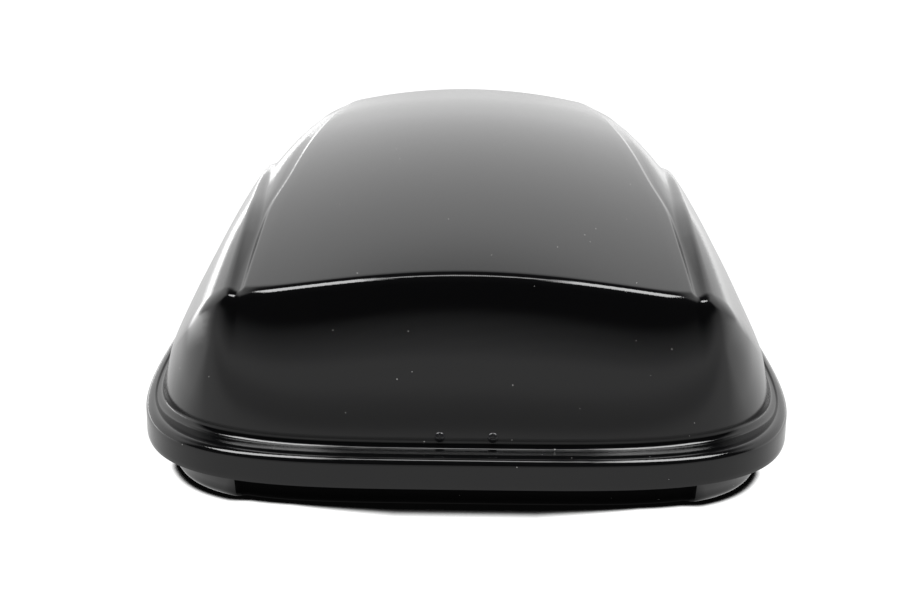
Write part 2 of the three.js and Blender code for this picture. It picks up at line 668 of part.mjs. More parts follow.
Object.entries(hingePlaces).forEach(([name, y]) => {
  const webLow = HINGE.z - 4;
  const leafTop = TRAY.flange - CLEAR;
  const web = plateXZ([
    [HINGE.x, webLow], [HINGE.x + 5, webLow + 1.5], [HINGE.x + 17, leafTop - 2.8],
    [HINGE.x + 17, leafTop], [HINGE.x + 7, leafTop], [HINGE.x + 2, HINGE.z + 4],
  ], y - HINGE.baseHalf, y + HINGE.baseHalf);
  const plate = box(HINGE.x + 8, HINGE.x + 38, y - 26, y + 26, leafTop - 2.8, leafTop);
  const knuckle = barY(HINGE.barrel, y - HINGE.baseHalf, y + HINGE.baseHalf, HINGE.x, HINGE.z);
  add(`hinge_${name}_base_leaf`, cut(join([knuckle, web, plate]), [hingeBore(y)]), darkSteel);

  const inner = HINGE.baseHalf + KNUCKLE_GAP;
  const tabs = [[y - HINGE.leafHalf, y - inner], [y + inner, y + HINGE.leafHalf]];
  const lidLeaf = join([
    skirtPlate(y - HINGE.leafHalf, y + HINGE.leafHalf, HINGE.z + 6, LEDGE_TOP - SKIRT.round - 3, 2.2),
    ...tabs.map(([from, to]) => skirtPlate(from, to, HINGE.z, HINGE.z + 8, 2.2)),
    ...tabs.map(([from, to]) => barY(HINGE.barrel, from, to, HINGE.x, HINGE.z)),
  ]);
  add(`hinge_${name}_lid_leaf`, cut(lidLeaf, [hingeBore(y)]), darkSteel);

  const reach = HINGE.leafHalf + CLEAR;
  add(`hinge_${name}_pin`, join([
    barY(HINGE.pin, y - reach - 1, y + reach + 1, HINGE.x, HINGE.z, 20),
    barY(HINGE.head, y - reach - 2, y - reach, HINGE.x, HINGE.z, 20),
    barY(HINGE.head, y + reach, y + reach + 2, HINGE.x, HINGE.z, 20),
  ]), steel);
});

// Lock: a key cylinder through the lid's right wall turns an arm whose pin drives the hooked bar
const HOUSING = { half: 24, low: 124, high: 152 };
const PAST = 3;               // pieces that the lid's wall trims reach this far into it
const wallGap = (y, z) => lidWallX(y, z) - SHEET + PAST;

add('lock_housing', cut(seatInLid(plateXZ([
  [BAR.x + BAR.thick + 2, HOUSING.low], [wallGap(LOCK_Y, HOUSING.low), HOUSING.low],
  [wallGap(LOCK_Y, HOUSING.high), HOUSING.high], [BAR.x + BAR.thick + 8, HOUSING.high],
  [BAR.x + BAR.thick + 2, HOUSING.high - 8],
], LOCK_Y - HOUSING.half, LOCK_Y + HOUSING.half)), [barX(KEY_BORE, BAR.x, WIDTH_HALF, LOCK_Y, KEY.z, 32)]), blackPlastic);

const armAngle = THREE.MathUtils.degToRad(KEY.turn / 2);
const pinAt = [LOCK_Y - KEY.arm * Math.sin(armAngle), KEY.z - KEY.arm * Math.cos(armAngle)];
const ARM = { x: BAR.x - 3.8, thick: 3.3 };

function keyGeometry() {
  const outer = lidWallX(LOCK_Y, KEY.z) + 1.5;
  const barrel = barX(KEY.radius, ARM.x + 0.5, outer, LOCK_Y, KEY.z, 32);
  const hub = barX(KEY.radius + 2, ARM.x, ARM.x + ARM.thick, LOCK_Y, KEY.z, 32);
  const end = barX(5.5, ARM.x, ARM.x + ARM.thick, pinAt[0], pinAt[1], 20);
  const link = box(ARM.x, ARM.x + ARM.thick, -5, 5, -KEY.arm, 0)
    .rotateX(-armAngle).translate(0, LOCK_Y, KEY.z);
  const pin = barX(KEY.pin, ARM.x + 1, BAR.x + BAR.thick + 1.2, pinAt[0], pinAt[1], 20);
  const keySlot = box(outer - 7, outer + 1, LOCK_Y - 1.3, LOCK_Y + 1.3, KEY.z - 4.5, KEY.z + 4.5);
  return cut(join([barrel, hub, link, end, pin]), [keySlot]);
}
add('key_cylinder', keyGeometry(), steel);

const HOOK = { stem: 14, foot: 34, low: 75, thick: 6 };
const hookPlaces = [LOCK_Y - 205, LOCK_Y - 35, LOCK_Y + 185];
const TAB = { half: 26, high: 127 };

function lockBarGeometry() {
  const outlinePoints = [[BAR.rear, BAR.high], [BAR.rear, BAR.low]];
  hookPlaces.forEach((y) => {
    outlinePoints.push(
      [y, BAR.low], [y, HOOK.low], [y + HOOK.stem + HOOK.foot, HOOK.low],
      [y + HOOK.stem + HOOK.foot, HOOK.low + HOOK.thick - 2], [y + HOOK.stem, HOOK.low + HOOK.thick],
      [y + HOOK.stem, BAR.low],
    );
  });
  const tabAt = pinAt[0];
  outlinePoints.push(
    [BAR.front, BAR.low], [BAR.front, BAR.high], [tabAt + TAB.half, BAR.high],
    [tabAt + TAB.half - 14, TAB.high], [tabAt - TAB.half + 14, TAB.high], [tabAt - TAB.half, BAR.high],
  );
  const play = 1.1;
  const slotHalf = KEY.pin + play;
  const lowest = KEY.z - KEY.arm - slotHalf;
  const highest = pinAt[1] + slotHalf;
  const slot = [
    [tabAt - slotHalf, lowest], [tabAt + slotHalf, lowest], [tabAt + slotHalf, highest],
    [tabAt - slotHalf, highest],
  ];
  return plateYZ(outlinePoints, BAR.x, BAR.x + BAR.thick, [slot]);
}
add('lock_bar', lockBarGeometry(), steel);

const GUIDE = { half: 14, low: 91, high: 117, reach: 4 };
const guidePlaces = { rear: LOCK_Y - 125, front: LOCK_Y + 145 };
Object.entries(guidePlaces).forEach(([name, y]) => {
  const channel = box(
    BAR.x - CLEAR, BAR.x + BAR.thick + CLEAR, y - 40, y + 40, BAR.low - CLEAR, BAR.high + CLEAR,
  );
  const block = plateXZ([
    [BAR.x - GUIDE.reach, GUIDE.low], [BAR.x + BAR.thick + 4, GUIDE.low],
    [wallGap(y, LEDGE_TOP + TROUGH_ROUND), LEDGE_TOP + TROUGH_ROUND],
    [wallGap(y, GUIDE.high), GUIDE.high], [BAR.x - GUIDE.reach, GUIDE.high],
  ], y - GUIDE.half, y + GUIDE.half);
  add(`bar_guide_${name}`, cut(seatInLid(block), [channel]), blackPlastic);
});

// Strikers on the base flange, one for each hook
const STRIKER = { gap: 6, wide: 9, half: 9.5, post: 3, low: 83, high: 88 };
const strikerNames = ['rear', 'middle', 'front'];
hookPlaces.forEach((y, i) => {
  const from = y + HOOK.stem + BAR_TRAVEL + 1.5;
  const to = from + STRIKER.wide;
  const x = BAR.x + BAR.thick / 2;
  const foot = FLANGE_TOP + CLEAR;
  add(`striker_${strikerNames[i]}`, join([
    box(x - STRIKER.half, x - STRIKER.half + STRIKER.post, from, to, foot, STRIKER.high),
    box(x + STRIKER.half - STRIKER.post, x + STRIKER.half, from, to, foot, STRIKER.high),
    box(x - STRIKER.half, x + STRIKER.half, from, to, STRIKER.low, STRIKER.high),
    box(x - STRIKER.half, x - 4, from - 5, to + 5, foot, foot + 2),
    box(x + 4, x + STRIKER.half + 8, from - 5, to + 5, foot, foot + 2),
    box(x - STRIKER.half, x + STRIKER.half + 8, from - 5, from - 1, foot, foot + 2),
  ]), darkSteel);
});

// Gas struts from the tray's floor to the lid's left wall
const STRUT = {
  base: [HINGE.x + 193, 22], reach: 79, eye: 8.5, eyeHalf: 4, stud: 4, neck: 3.8, tube: 8.5, bore: 7, rod: 3.5, piston: 6.6,
  pistonThick: 5, bare: 38,
};
const strutPlaces = { rear: -0.622 * LENGTH_HALF, front: 0.489 * LENGTH_HALF };
const strutClosedAngle = THREE.MathUtils.degToRad(39);
const strutOpenAngle = strutClosedAngle + THREE.MathUtils.degToRad(OPEN_ANGLE);
const lidEnd = (angle) => [
  HINGE.x + STRUT.reach * Math.cos(angle), HINGE.z + STRUT.reach * Math.sin(angle),
];
const closedEnd = lidEnd(strutClosedAngle);
const openEnd = lidEnd(strutOpenAngle);
const strutLength = (end) => Math.hypot(end[0] - STRUT.base[0], end[1] - STRUT.base[1]);
const closedLength = strutLength(closedEnd);
const stroke = strutLength(openEnd) - closedLength;
const strutTilt = Math.atan2(closedEnd[1] - STRUT.base[1], closedEnd[0] - STRUT.base[0]);

// Moves a piece drawn along +x from the base stud into its place
function alongStrut(geometry, y) {
  return geometry.rotateY(-strutTilt).translate(STRUT.base[0], y, STRUT.base[1]);
}

function revolveX(profile) {
  const lathe = new THREE.LatheGeometry(profile.map(([along, radius]) => new THREE.Vector2(radius, along)), 20);
  return lathe.rotateZ(-Math.PI / 2);
}

Object.entries(strutPlaces).forEach(([name, y]) => {
  const tubeEnd = closedLength - STRUT.bare;
  const glandAt = tubeEnd - 6;
  const pistonAt = glandAt - STRUT.pistonThick - stroke - 2;
  const boreEnd = pistonAt - 3;
  const eye = barY(STRUT.eye, -STRUT.eyeHalf, STRUT.eyeHalf, 0, 0);
  const tube = revolveX([
    [6, 0], [6, STRUT.neck], [15, STRUT.neck], [17, STRUT.tube], [tubeEnd - 2, STRUT.tube], [tubeEnd, STRUT.tube - 2],
    [tubeEnd, STRUT.rod + 0.4], [glandAt, STRUT.rod + 0.4], [glandAt, STRUT.bore], [boreEnd, STRUT.bore], [boreEnd, 0],
  ]);
  const studBore = barY(STRUT.stud + PIVOT_CLEAR, -20, 20, 0, 0, 20);
  add(`strut_${name}_cylinder`, alongStrut(cut(join([eye, tube]), [studBore]), y), darkSteel);

  const rod = revolveX([
    [pistonAt, 0], [pistonAt, STRUT.piston], [pistonAt + STRUT.pistonThick, STRUT.piston],
    [pistonAt + STRUT.pistonThick, STRUT.rod],
    [closedLength - 4, STRUT.rod], [closedLength - 4, 0],
  ]);
  const rodEye = barY(STRUT.eye, -STRUT.eyeHalf, STRUT.eyeHalf, closedLength, 0);
  add(`strut_${name}_rod`, alongStrut(join([rod, rodEye]), y), steel);

  const [bx, bz] = STRUT.base;
  const ear = y + STRUT.eyeHalf + CLEAR;
  const foot = SHEET + CLEAR;
  add(`strut_${name}_base_bracket`, join([
    box(bx - 12, bx + 12, ear, ear + 22, foot, foot + 2.5),
    plateXZ([[bx - 12, foot + 1], [bx + 12, foot + 1], [bx + 6, bz + 6], [bx - 6, bz + 6]], ear, ear + 2.5),
    barY(STRUT.stud, y - STRUT.eyeHalf - 2, ear + 1, bx, bz, 20),
  ]), darkSteel);

  const [lx, lz] = closedEnd;
  const wall = (z) => -wallGap(y, z);
  const wallLow = LEDGE_TOP + TROUGH_ROUND + 2;
  const wallHigh = wallLow + 38;
  add(`strut_${name}_lid_bracket`, seatInLid(join([
    plateXZ([
      [lx + 9, lz - 8], [lx + 9, lz + 8], [wall(wallHigh), wallHigh], [wall(wallLow), wallLow],
    ], ear, ear + 2.5),
    plateXZ([
      [wall(wallLow), wallLow], [wall(wallLow) + 6, wallLow], [wall(wallHigh) + 6, wallHigh],
      [wall(wallHigh), wallHigh],
    ], ear, ear + 18),
  ])), darkSteel);
});

// Guide at the rear end: a tongue held by the two screws drops into a socket on the base
const TONGUE = { half: 40, high: 122, thick: 8, nose: 15, noseLow: 75 };
const SOCKET = { side: 3, wall: 3, depth: 3, high: 86 };

function tongueGeometry() {
  const back = lidRearY(0, TONGUE.high) + SHEET;
  const low = LEDGE_TOP + TROUGH_ROUND;
  const block = box(-TONGUE.half, TONGUE.half, back - 4, back + TONGUE.thick, low, TONGUE.high);
  const nose = plateYZ([
    [back, low + 8], [back, TONGUE.noseLow + 4], [back + 2, TONGUE.noseLow],
    [back + TONGUE.thick - 2, TONGUE.noseLow], [back + TONGUE.thick, TONGUE.noseLow + 4],
    [back + TONGUE.thick, low + 8],
  ], -TONGUE.nose, TONGUE.nose);
  const holes = [-1, 1].map((side) => onRearFace(
    new THREE.CylinderGeometry(SCREW.shank + CLEAR, SCREW.shank + CLEAR, 60, 20), side * SCREW.apart / 2,
  ));
  return cut(seatInLid(join([block, nose])), holes);
}
add('guide_tongue', tongueGeometry(), blackPlastic);

function socketGeometry() {
  const back = lidRearY(0, TONGUE.high) + SHEET;
  const inner = TONGUE.nose + SOCKET.side;
  const outer = inner + SOCKET.wall;
  const foot = FLANGE_TOP + CLEAR;
  const near = back - SOCKET.depth;
  const far = back + TONGUE.thick + SOCKET.depth;
  return join([
    box(-outer - 8, outer + 8, near - 3, far + 3, foot, foot + 2.5),
    box(-outer, -inner, near - 3, far + 3, foot, SOCKET.high),
    box(inner, outer, near - 3, far + 3, foot, SOCKET.high),
    box(-outer, outer, far, far + 3, foot, SOCKET.high),
  ]);
}
add('guide_socket', socketGeometry(), blackPlastic);

[-1, 1].forEach((side) => {
  const { shank, head, headThick, length } = SCREW;
  const profile = [
    [0, length], [shank, length], [shank, -0.5], [head, -0.5], [head, -headThick + 0.8],
    [head * 0.7, -headThick], [0, -headThick],
  ].map(([radius, along]) => new THREE.Vector2(radius, along - 2 * CLEAR));
  const body = new THREE.LatheGeometry(profile.reverse(), 24);
  const recess = [0, Math.PI / 2].map((turn) => {
    return new THREE.BoxGeometry(5.4, 3, 1.1).rotateY(turn).translate(0, -headThick - 2 * CLEAR, 0);
  });
  const screw = cut(body, recess);
  add(`guide_screw_${side < 0 ? 'left' : 'right'}`, onRearFace(screw, side * SCREW.apart / 2), blackPlastic);
});

export default roofBox;
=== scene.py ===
# Roof box with a blunt rear end, seen from behind and a little above
import json
import math
import bmesh
import bpy
import numpy as np
from mathutils import Matrix, Vector


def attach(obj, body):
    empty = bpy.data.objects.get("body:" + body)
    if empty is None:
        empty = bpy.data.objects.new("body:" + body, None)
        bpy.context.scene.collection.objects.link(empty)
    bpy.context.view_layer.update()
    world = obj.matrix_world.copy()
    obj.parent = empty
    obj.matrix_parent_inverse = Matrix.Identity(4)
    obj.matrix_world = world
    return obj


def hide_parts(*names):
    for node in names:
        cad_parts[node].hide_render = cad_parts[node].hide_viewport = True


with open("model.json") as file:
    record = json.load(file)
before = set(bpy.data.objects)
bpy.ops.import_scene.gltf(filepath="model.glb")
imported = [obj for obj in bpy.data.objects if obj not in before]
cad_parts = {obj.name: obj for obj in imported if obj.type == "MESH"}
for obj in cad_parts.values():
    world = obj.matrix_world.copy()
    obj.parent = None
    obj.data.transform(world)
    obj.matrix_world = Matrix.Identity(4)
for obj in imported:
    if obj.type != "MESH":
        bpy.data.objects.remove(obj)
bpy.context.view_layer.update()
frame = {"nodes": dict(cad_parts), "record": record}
nodes = frame["nodes"]
scene = bpy.context.scene
print("frame loaded with", len(nodes), "nodes")

# Camera: place in metres and angles in degrees that line the box up with the photo
cameraPlace = {"x": -0.00373, "y": -2.4178, "z": 0.6763, "yaw": -0.175, "pitch": 15.164, "roll": -0.657,
               "lens": 59.2, "sensor": 36}


def placeCamera(values):
    yaw, pitch, roll = (math.radians(values[key]) for key in ("yaw", "pitch", "roll"))
    forward = Vector((math.sin(yaw) * math.cos(pitch), math.cos(yaw) * math.cos(pitch), -math.sin(pitch)))
    right = Vector((math.cos(yaw), -math.sin(yaw), 0))
    down = forward.cross(right)
    across = right * math.cos(roll) + down * math.sin(roll)
    under = down * math.cos(roll) - right * math.sin(roll)
    turn = Matrix((across, -under, -forward)).transposed()
    data = bpy.data.cameras.new("camera")
    data.lens, data.sensor_width = values["lens"], values["sensor"]
    data.clip_start, data.clip_end = 0.05, 60
    camera = bpy.data.objects.new("camera", data)
    camera.matrix_world = Matrix.Translation((values["x"], values["y"], values["z"])) @ turn.to_4x4()
    scene.collection.objects.link(camera)
    scene.camera = camera


placeCamera(cameraPlace)

# Shape of the box in millimetres, with places and spans along it as shares of its half length
boxShape = {"halfLength": 900, "halfWidth": 400, "sheet": 4, "rearPower": (3.9, 8.2),
            "frontPower": (2.5, 6), "rearShare": 0.985, "frontShare": 0.79,
            "straightRear": -0.278, "straightFront": 0.111}
ledge = {"skirtLow": 60.3, "skirtRound": 8, "top": 94.8, "troughRound": 10,
         "edge": (33, 11, 24), "foot": (40, 18, 31), "wallTop": (64, 26, 200), "gutter": 2.2,
         "lip": ((0.9, 0), (0.25, 0.3), (0, 1)), "lipHigh": 6, "bulge": 3.2, "bulgeSpan": (0.7, 0.85),
         "roundMost": 0.6}
spine = {"top": 363, "topAt": -0.164, "rear": 283, "front": 240, "fall": 2.1, "drop": 37,
         "dropHalf": 0.655, "noseFrom": 0.4, "noseDrop": 150}
panelShape = {"mid": 0.5825, "waist": 0.0525, "waistSpan": (-0.478, 0.111), "nose": 0.145,
              "noseSpan": (0.111, 1), "nosePower": 1.3, "rearFlare": 0.03, "flareSpan": (-0.656, -0.456),
              "groove": 0.6325, "spread": 0.065, "spreadSpan": (-0.778, -0.222),
              "sweep": 0.1375, "sweepSpan": (-0.389, 0.167), "panelGap": 9, "sideGap": 34}
shoulder = {"inner": 1.85, "outer": 0.75, "footIn": 14, "rear": 96, "mid": 148, "front": 104,
            "lowSpan": (-1, -0.222), "step": 4.5, "stepWide": 8, "stepSpan": (0.278, 0.611),
            "lift": 9, "liftPower": 1.2, "liftRise": (-0.956, -0.667), "liftFall": (-0.067, 0.333),
            "fenderWide": 20, "fenderRise": 18,
            "roundRear": 8.5, "roundFront": 80, "roundSpan": (0.111, 0.778)}
halfLength, halfWidth = boxShape["halfLength"], boxShape["halfWidth"]


def mix(a, b, t):
    return a + (b - a) * t


def ease(t):
    k = np.clip(t, 0, 1)
    return k * k * (3 - 2 * k)


# How far a value has come through a span
def through(value, span):
    return (value - span[0]) / (span[1] - span[0])


def taper(y, frontFrom):
    rearFrom = boxShape["straightRear"] * halfLength
    front = np.maximum(y - frontFrom, 0) / (halfLength - frontFrom)
    rear = np.maximum(rearFrom - y, 0) / (halfLength + rearFrom)
    return 1 - (1 - boxShape["frontShare"]) * front ** 2 - (1 - boxShape["rearShare"]) * rear ** 2


# Rim outline at an angle, moved in at the rear, the sides and the front
def outline(angle, inset):
    c, s = np.cos(angle), np.sin(angle)
    rearSide = s < 0
    widthPower = np.where(rearSide, boxShape["rearPower"][0], boxShape["frontPower"][0])
    lengthPower = np.where(rearSide, boxShape["rearPower"][1], boxShape["frontPower"][1])
    reach = halfLength - np.where(rearSide, inset[0], inset[2])
    y = reach * np.sign(s) * np.abs(s) ** (2 / lengthPower)
    half = halfWidth * taper(y, boxShape["straightFront"] * halfLength) - inset[1]
    return half * np.sign(c) * np.abs(c) ** (2 / widthPower), y


def angleAtY(y, inset):
    power = np.where(y < 0, boxShape["rearPower"][1], boxShape["frontPower"][1])
    reach = halfLength - np.where(y < 0, inset[0], inset[2])
    return np.sign(y) * np.arcsin(np.clip(np.abs(y) / reach, 0, 1) ** (power / 2))


def edgeRound(y):
    share = ease(through(y / halfLength, shoulder["roundSpan"]))
    return mix(shoulder["roundRear"], shoulder["roundFront"], share)


def topInset(y):
    return [value + edgeRound(y) for value in ledge["wallTop"]]


def panelHalf(y):
    along = y / halfLength
    waist = panelShape["waist"] * np.clip(through(along, panelShape["waistSpan"]), 0, 1)
    nose = np.clip(through(along, panelShape["noseSpan"]), 0, 1) ** panelShape["nosePower"]
    flare = panelShape["rearFlare"] * (1 - ease(through(along, panelShape["flareSpan"])))
    return halfWidth * (panelShape["mid"] - waist - panelShape["nose"] * nose + flare)


def grooveHalf(y, sideX):
    along = y / halfLength
    spread = panelShape["spread"] * ease(through(along, panelShape["spreadSpan"]))
    sweep = panelShape["sweep"] * np.clip(through(along, panelShape["sweepSpan"]), 0, 2) ** 2
    groove = halfWidth * (panelShape["groove"] + spread + sweep)
    groove = np.maximum(groove, panelHalf(y) + panelShape["panelGap"])
    return np.minimum(groove, sideX - panelShape["sideGap"])


# Height of the lid's outer surface: crowned panel, falling shoulder, shelf step, groove and fender
def lidTop(x, y, groove):
    across, along = np.abs(x), y / halfLength
    panel = panelHalf(y)
    topAt = spine["topAt"] * halfLength
    front = np.maximum(y - topAt, 0) / (halfLength - topAt)
    rear = np.maximum(topAt - y, 0) / (halfLength - ledge["wallTop"][0] + topAt)
    crest = spine["top"] - (spine["top"] - spine["front"]) * front ** spine["fall"]
    crest = crest - (spine["top"] - spine["rear"]) * rear ** 2
    nose = np.clip((along - spine["noseFrom"]) / (1 - spine["noseFrom"]), 0, 1)
    crest = crest - spine["noseDrop"] * nose ** 2
    dropHalf = spine["dropHalf"] * halfWidth
    onPanel = crest - spine["drop"] * (across / dropHalf) ** 2
    panelEdge = crest - spine["drop"] * (panel / dropHalf) ** 2
    foot = halfWidth * taper(y, boxShape["straightRear"] * halfLength) - shoulder["footIn"]
    low = mix(shoulder["rear"], shoulder["mid"], ease(through(along, shoulder["lowSpan"])))
    low = low - (shoulder["mid"] - shoulder["front"]) * np.clip(along, 0, 1) ** 2
    t = np.clip((across - panel) / (foot - panel), 0, 1)
    hull = low + (panelEdge - low) * (1 - t ** shoulder["inner"]) ** (1 / shoulder["outer"])
    stepFade = 1 - ease(through(along, shoulder["stepSpan"]))
    liftFade = 1 - ease(through(along, shoulder["liftFall"]))
    liftFade = liftFade * ease(through(along, shoulder["liftRise"]))
    step = shoulder["step"] * stepFade * ease((across - panel) / shoulder["stepWide"])
    lift = shoulder["step"] * stepFade + shoulder["lift"] * liftFade
    lift = lift * ease((across - groove) / shoulder["fenderRise"])
    outward = np.clip((across - groove) / (foot - groove), 0, 1)
    besidePanel = hull + lift * (1 - outward ** 2) ** shoulder["liftPower"] - step
    return np.where(across <= panel, onPanel, besidePanel)


# How finely the lid is drawn: rows along it, columns across its zones and rings up its rim
lidDetail = {"rows": 132, "rearShare": 0.35, "panel": 16, "edge": 4, "shelf": 5, "fender": 7,
             "side": 13, "sidePower": 0.85, "rearCorner": math.radians(-35),
             "frontCorner": math.radians(38), "tries": 40, "skirtRings": 5, "bendRings": 8,
             "ledgeRings": 7, "troughRings": 11, "wallRings": 17, "roundRings": 10}


def columnPlan():
    plan = [("panel", t) for t in np.linspace(0, 1, lidDetail["panel"])]
    for zone, power in (("edge", 1), ("shelf", 1), ("fender", 1), ("side", lidDetail["sidePower"])):
        plan += [(zone, t) for t in np.linspace(0, 1, lidDetail[zone] + 1)[1:] ** power]
    return plan


def columnX(zone, at, y, sideX):
    panel, groove = panelHalf(y), grooveHalf(y, sideX)
    wide, fender = shoulder["stepWide"], shoulder["fenderWide"]
    if zone == "panel":
        return panel * at
    if zone == "edge":
        return panel + wide * at
    if zone == "shelf":
        return mix(panel + wide, groove, at)
    if zone == "fender":
        return groove + fender * at
    return mix(groove + fender, sideX, at)


# Where a column meets the rear or front end of the top, with its outline angle
def columnEnd(zone, at, front):
    corner = lidDetail["frontCorner"] if front else lidDetail["rearCorner"]
    y = halfLength - ledge["wallTop"][2] if front else ledge["wallTop"][0] - halfLength
    sideX = outline(corner, topInset(outline(corner, ledge["wallTop"])[1]))[0]
    power = boxShape["frontPower" if front else "rearPower"][0]
    angle = corner
    for turn in range(lidDetail["tries"]):
        inset = topInset(y)
        half = halfWidth * taper(y, boxShape["straightFront"] * halfLength) - inset[1]
        share = np.clip(columnX(zone, at, y, sideX) / half, 0, 1) ** (power / 2)
        angle = (1 if front else -1) * np.arccos(share)
        y = outline(angle, inset)[1]
    return float(angle), float(y)


def lidOuterSurface():
    plan = columnPlan()
    rear = [columnEnd(zone, at, False) for zone, at in plan]
    front = [columnEnd(zone, at, True) for zone, at in plan]
    count = len(plan)
    rows = lidDetail["rows"]
    grid = np.zeros((rows + 1, 2 * count - 1, 3))
    sideAngles, sideXs = [], []
    for i in range(rows + 1):
        v = i / rows * mix(lidDetail["rearShare"], 1, i / rows)
        sideY = mix(rear[-1][1], front[-1][1], v)
        sideAngle = angleAtY(sideY, topInset(sideY))
        sideX = float(outline(sideAngle, topInset(sideY))[0])
        sideAngles.append(float(sideAngle))
        sideXs.append(sideX)
        for j, (zone, at) in enumerate(plan):
            y = mix(rear[j][1], front[j][1], v)
            x = float(columnX(zone, at, y, sideX))
            z = float(lidTop(x, y, grooveHalf(y, sideX)))
            grid[i, count - 1 + j] = (x, y, z)
            grid[i, count - 1 - j] = (-x, y, z)
    across = 2 * (count - 1)
    rearAngles = [math.pi - angle for angle, y in rear[:0:-1]] + [angle for angle, y in rear]
    frontAngles = [math.pi - angle for angle, y in front[:0:-1]] + [angle for angle, y in front]
    loop = [(rearAngles[j], 0, j) for j in range(across)]
    loop += [(sideAngles[i], i, across) for i in range(rows)]
    loop += [(frontAngles[j], rows, j) for j in range(across, 0, -1)]
    loop += [(math.pi - sideAngles[i], i, 0) for i in range(rows, 0, -1)]
    return np.array(grid), loop, np.array(sideXs)


# Rings of points once round the lid, from the bottom of the skirt to the edge of the top
def lidRings(grid, loop, sideXs):
    angles = np.array([place[0] for place in loop])
    rowOf = np.array([place[1] for place in loop])
    columnOf = np.array([place[2] for place in loop])
    height = lambda z: np.full(len(loop), float(z))
    ring = lambda inset, z: np.stack([*outline(angles, inset), height(z)], 1)
    allRound = lambda value: (value, value, value)
    top, bend, trough = ledge["top"], ledge["skirtRound"], ledge["troughRound"]
    start = ledge["skirtLow"]
    rings = [ring(allRound(inset), start + up) for inset, up in ledge["lip"]]
    rings += [ring(allRound(0), z)
              for z in np.linspace(start + ledge["lipHigh"], top - bend, lidDetail["skirtRings"])]
    for turn in np.linspace(0, math.pi / 2, lidDetail["bendRings"])[1:]:
        rings.append(ring(allRound(bend * (1 - math.cos(turn))), top - bend * (1 - math.sin(turn))))
    sunk = top - ledge["gutter"]
    for share in np.linspace(0, 1, lidDetail["ledgeRings"])[1:]:
        inset = [mix(bend, value, share) for value in ledge["edge"]]
        rings.append(ring(inset, mix(top, sunk, ease(share))))
    foot = ring(ledge["foot"], top + trough)
    low = ring(ledge["edge"], sunk)
    for t in np.linspace(0, 1, lidDetail["troughRings"])[1:]:
        side = 2 * t - t * t
        rings.append(np.stack([mix(low[:, 0], foot[:, 0], side), mix(low[:, 1], foot[:, 1], side),
                               height(mix(sunk, top + trough, t * t))], 1))
    edge = ring(ledge["wallTop"], 0)
    edge[:, 2] = lidTop(edge[:, 0], edge[:, 1], grooveHalf(edge[:, 1], sideXs[rowOf]))
    down = foot - edge
    length = np.linalg.norm(down, axis=1)
    drop = np.minimum(edgeRound(edge[:, 1]), ledge["roundMost"] * length)
    start = edge + down / length[:, None] * drop[:, None]
    outward = down * (1, 1, 0) / np.linalg.norm(down[:, :2], axis=1)[:, None]
    bulge = ledge["bulge"] * ease(through(-edge[:, 1] / halfLength, ledge["bulgeSpan"]))
    outward = outward * bulge[:, None]
    for t in np.linspace(0, 1, lidDetail["wallRings"])[1:]:
        rings.append(mix(foot, start, t) + 4 * t * (1 - t) * outward)
    edge = edge - outward * (4 * drop / length)[:, None]
    inner = grid[rowOf, columnOf]
    for t in np.linspace(0, 1, lidDetail["roundRings"])[1:-1]:
        rings.append((1 - t) ** 2 * start + 2 * t * (1 - t) * edge + t * t * inner)
    return rings


# Quads between rings of points, from one ring to the next
def ringQuads(count, rings):
    here = np.arange(count)
    after = (here + 1) % count
    low = np.arange(rings - 1)[:, None] * count
    return np.stack([low + here, low + after, low + count + after, low + count + here], 2).reshape(-1, 4)


def lidSheet():
    grid, loop, sideXs = lidOuterSurface()
    rings = lidRings(grid, loop, sideXs)
    count = len(loop)
    points = np.concatenate([*rings, grid.reshape(-1, 3)])
    gridStart = len(rings) * count
    across = grid.shape[1]
    here = np.arange(count)
    after = (here + 1) % count
    quads = [ringQuads(count, len(rings))]
    last = gridStart - count
    edge = gridStart + np.array([place[1] * across + place[2] for place in loop])
    quads.append(np.stack([last + here, last + after, edge[after], edge[here]], 1))
    i, j = np.meshgrid(np.arange(grid.shape[0] - 1), np.arange(across - 1), indexing="ij")
    corner = (gridStart + i * across + j).ravel()
    quads.append(np.stack([corner, corner + 1, corner + across + 1, corner + across], 1))
    return points, np.concatenate(quads), count


# Area-weighted normals of a sheet of quads
def sheetNormals(points, quads):
    a, b, c, d = (points[quads[:, k]] for k in range(4))
    cross = np.cross(c - a, d - b)
    normals = np.zeros_like(points)
    for k in range(4):
        np.add.at(normals, quads[:, k], cross)
    return normals / np.maximum(np.linalg.norm(normals, axis=1), 1e-9)[:, None]


# Mesh object from points in millimetres
def meshObject(name, points, faces, scale=0.001):
    mesh = bpy.data.meshes.new(name)
    mesh.from_pydata((np.asarray(points) * scale).tolist(), [], [list(map(int, face)) for face in faces])
    mesh.update()
    obj = bpy.data.objects.new(name, mesh)
    scene.collection.objects.link(obj)
    return obj


def shadeSmooth(obj, degrees):
    obj.data.shade_smooth()
    obj.data.set_sharp_from_angle(angle=math.radians(degrees))


def dress(obj, material):
    obj.data.materials.clear()
    obj.data.materials.append(material)


# The object with its modifiers made real, as a new plain mesh
def madeReal(obj, name):
    graph = bpy.context.evaluated_depsgraph_get()
    mesh = bpy.data.meshes.new_from_object(obj.evaluated_get(graph))
    mesh.name = name
    old = obj.data
    obj.modifiers.clear()
    obj.data = mesh
    bpy.data.meshes.remove(old)
    return obj


# One mesh of several bodies that don't touch each other
def joined(name, bodies):
    whole = bmesh.new()
    for body in bodies:
        whole.from_mesh(body.data)
        bpy.data.objects.remove(body)
    mesh = bpy.data.meshes.new(name)
    whole.to_mesh(mesh)
    whole.free()
    obj = bpy.data.objects.new(name, mesh)
    scene.collection.objects.link(obj)
    return obj


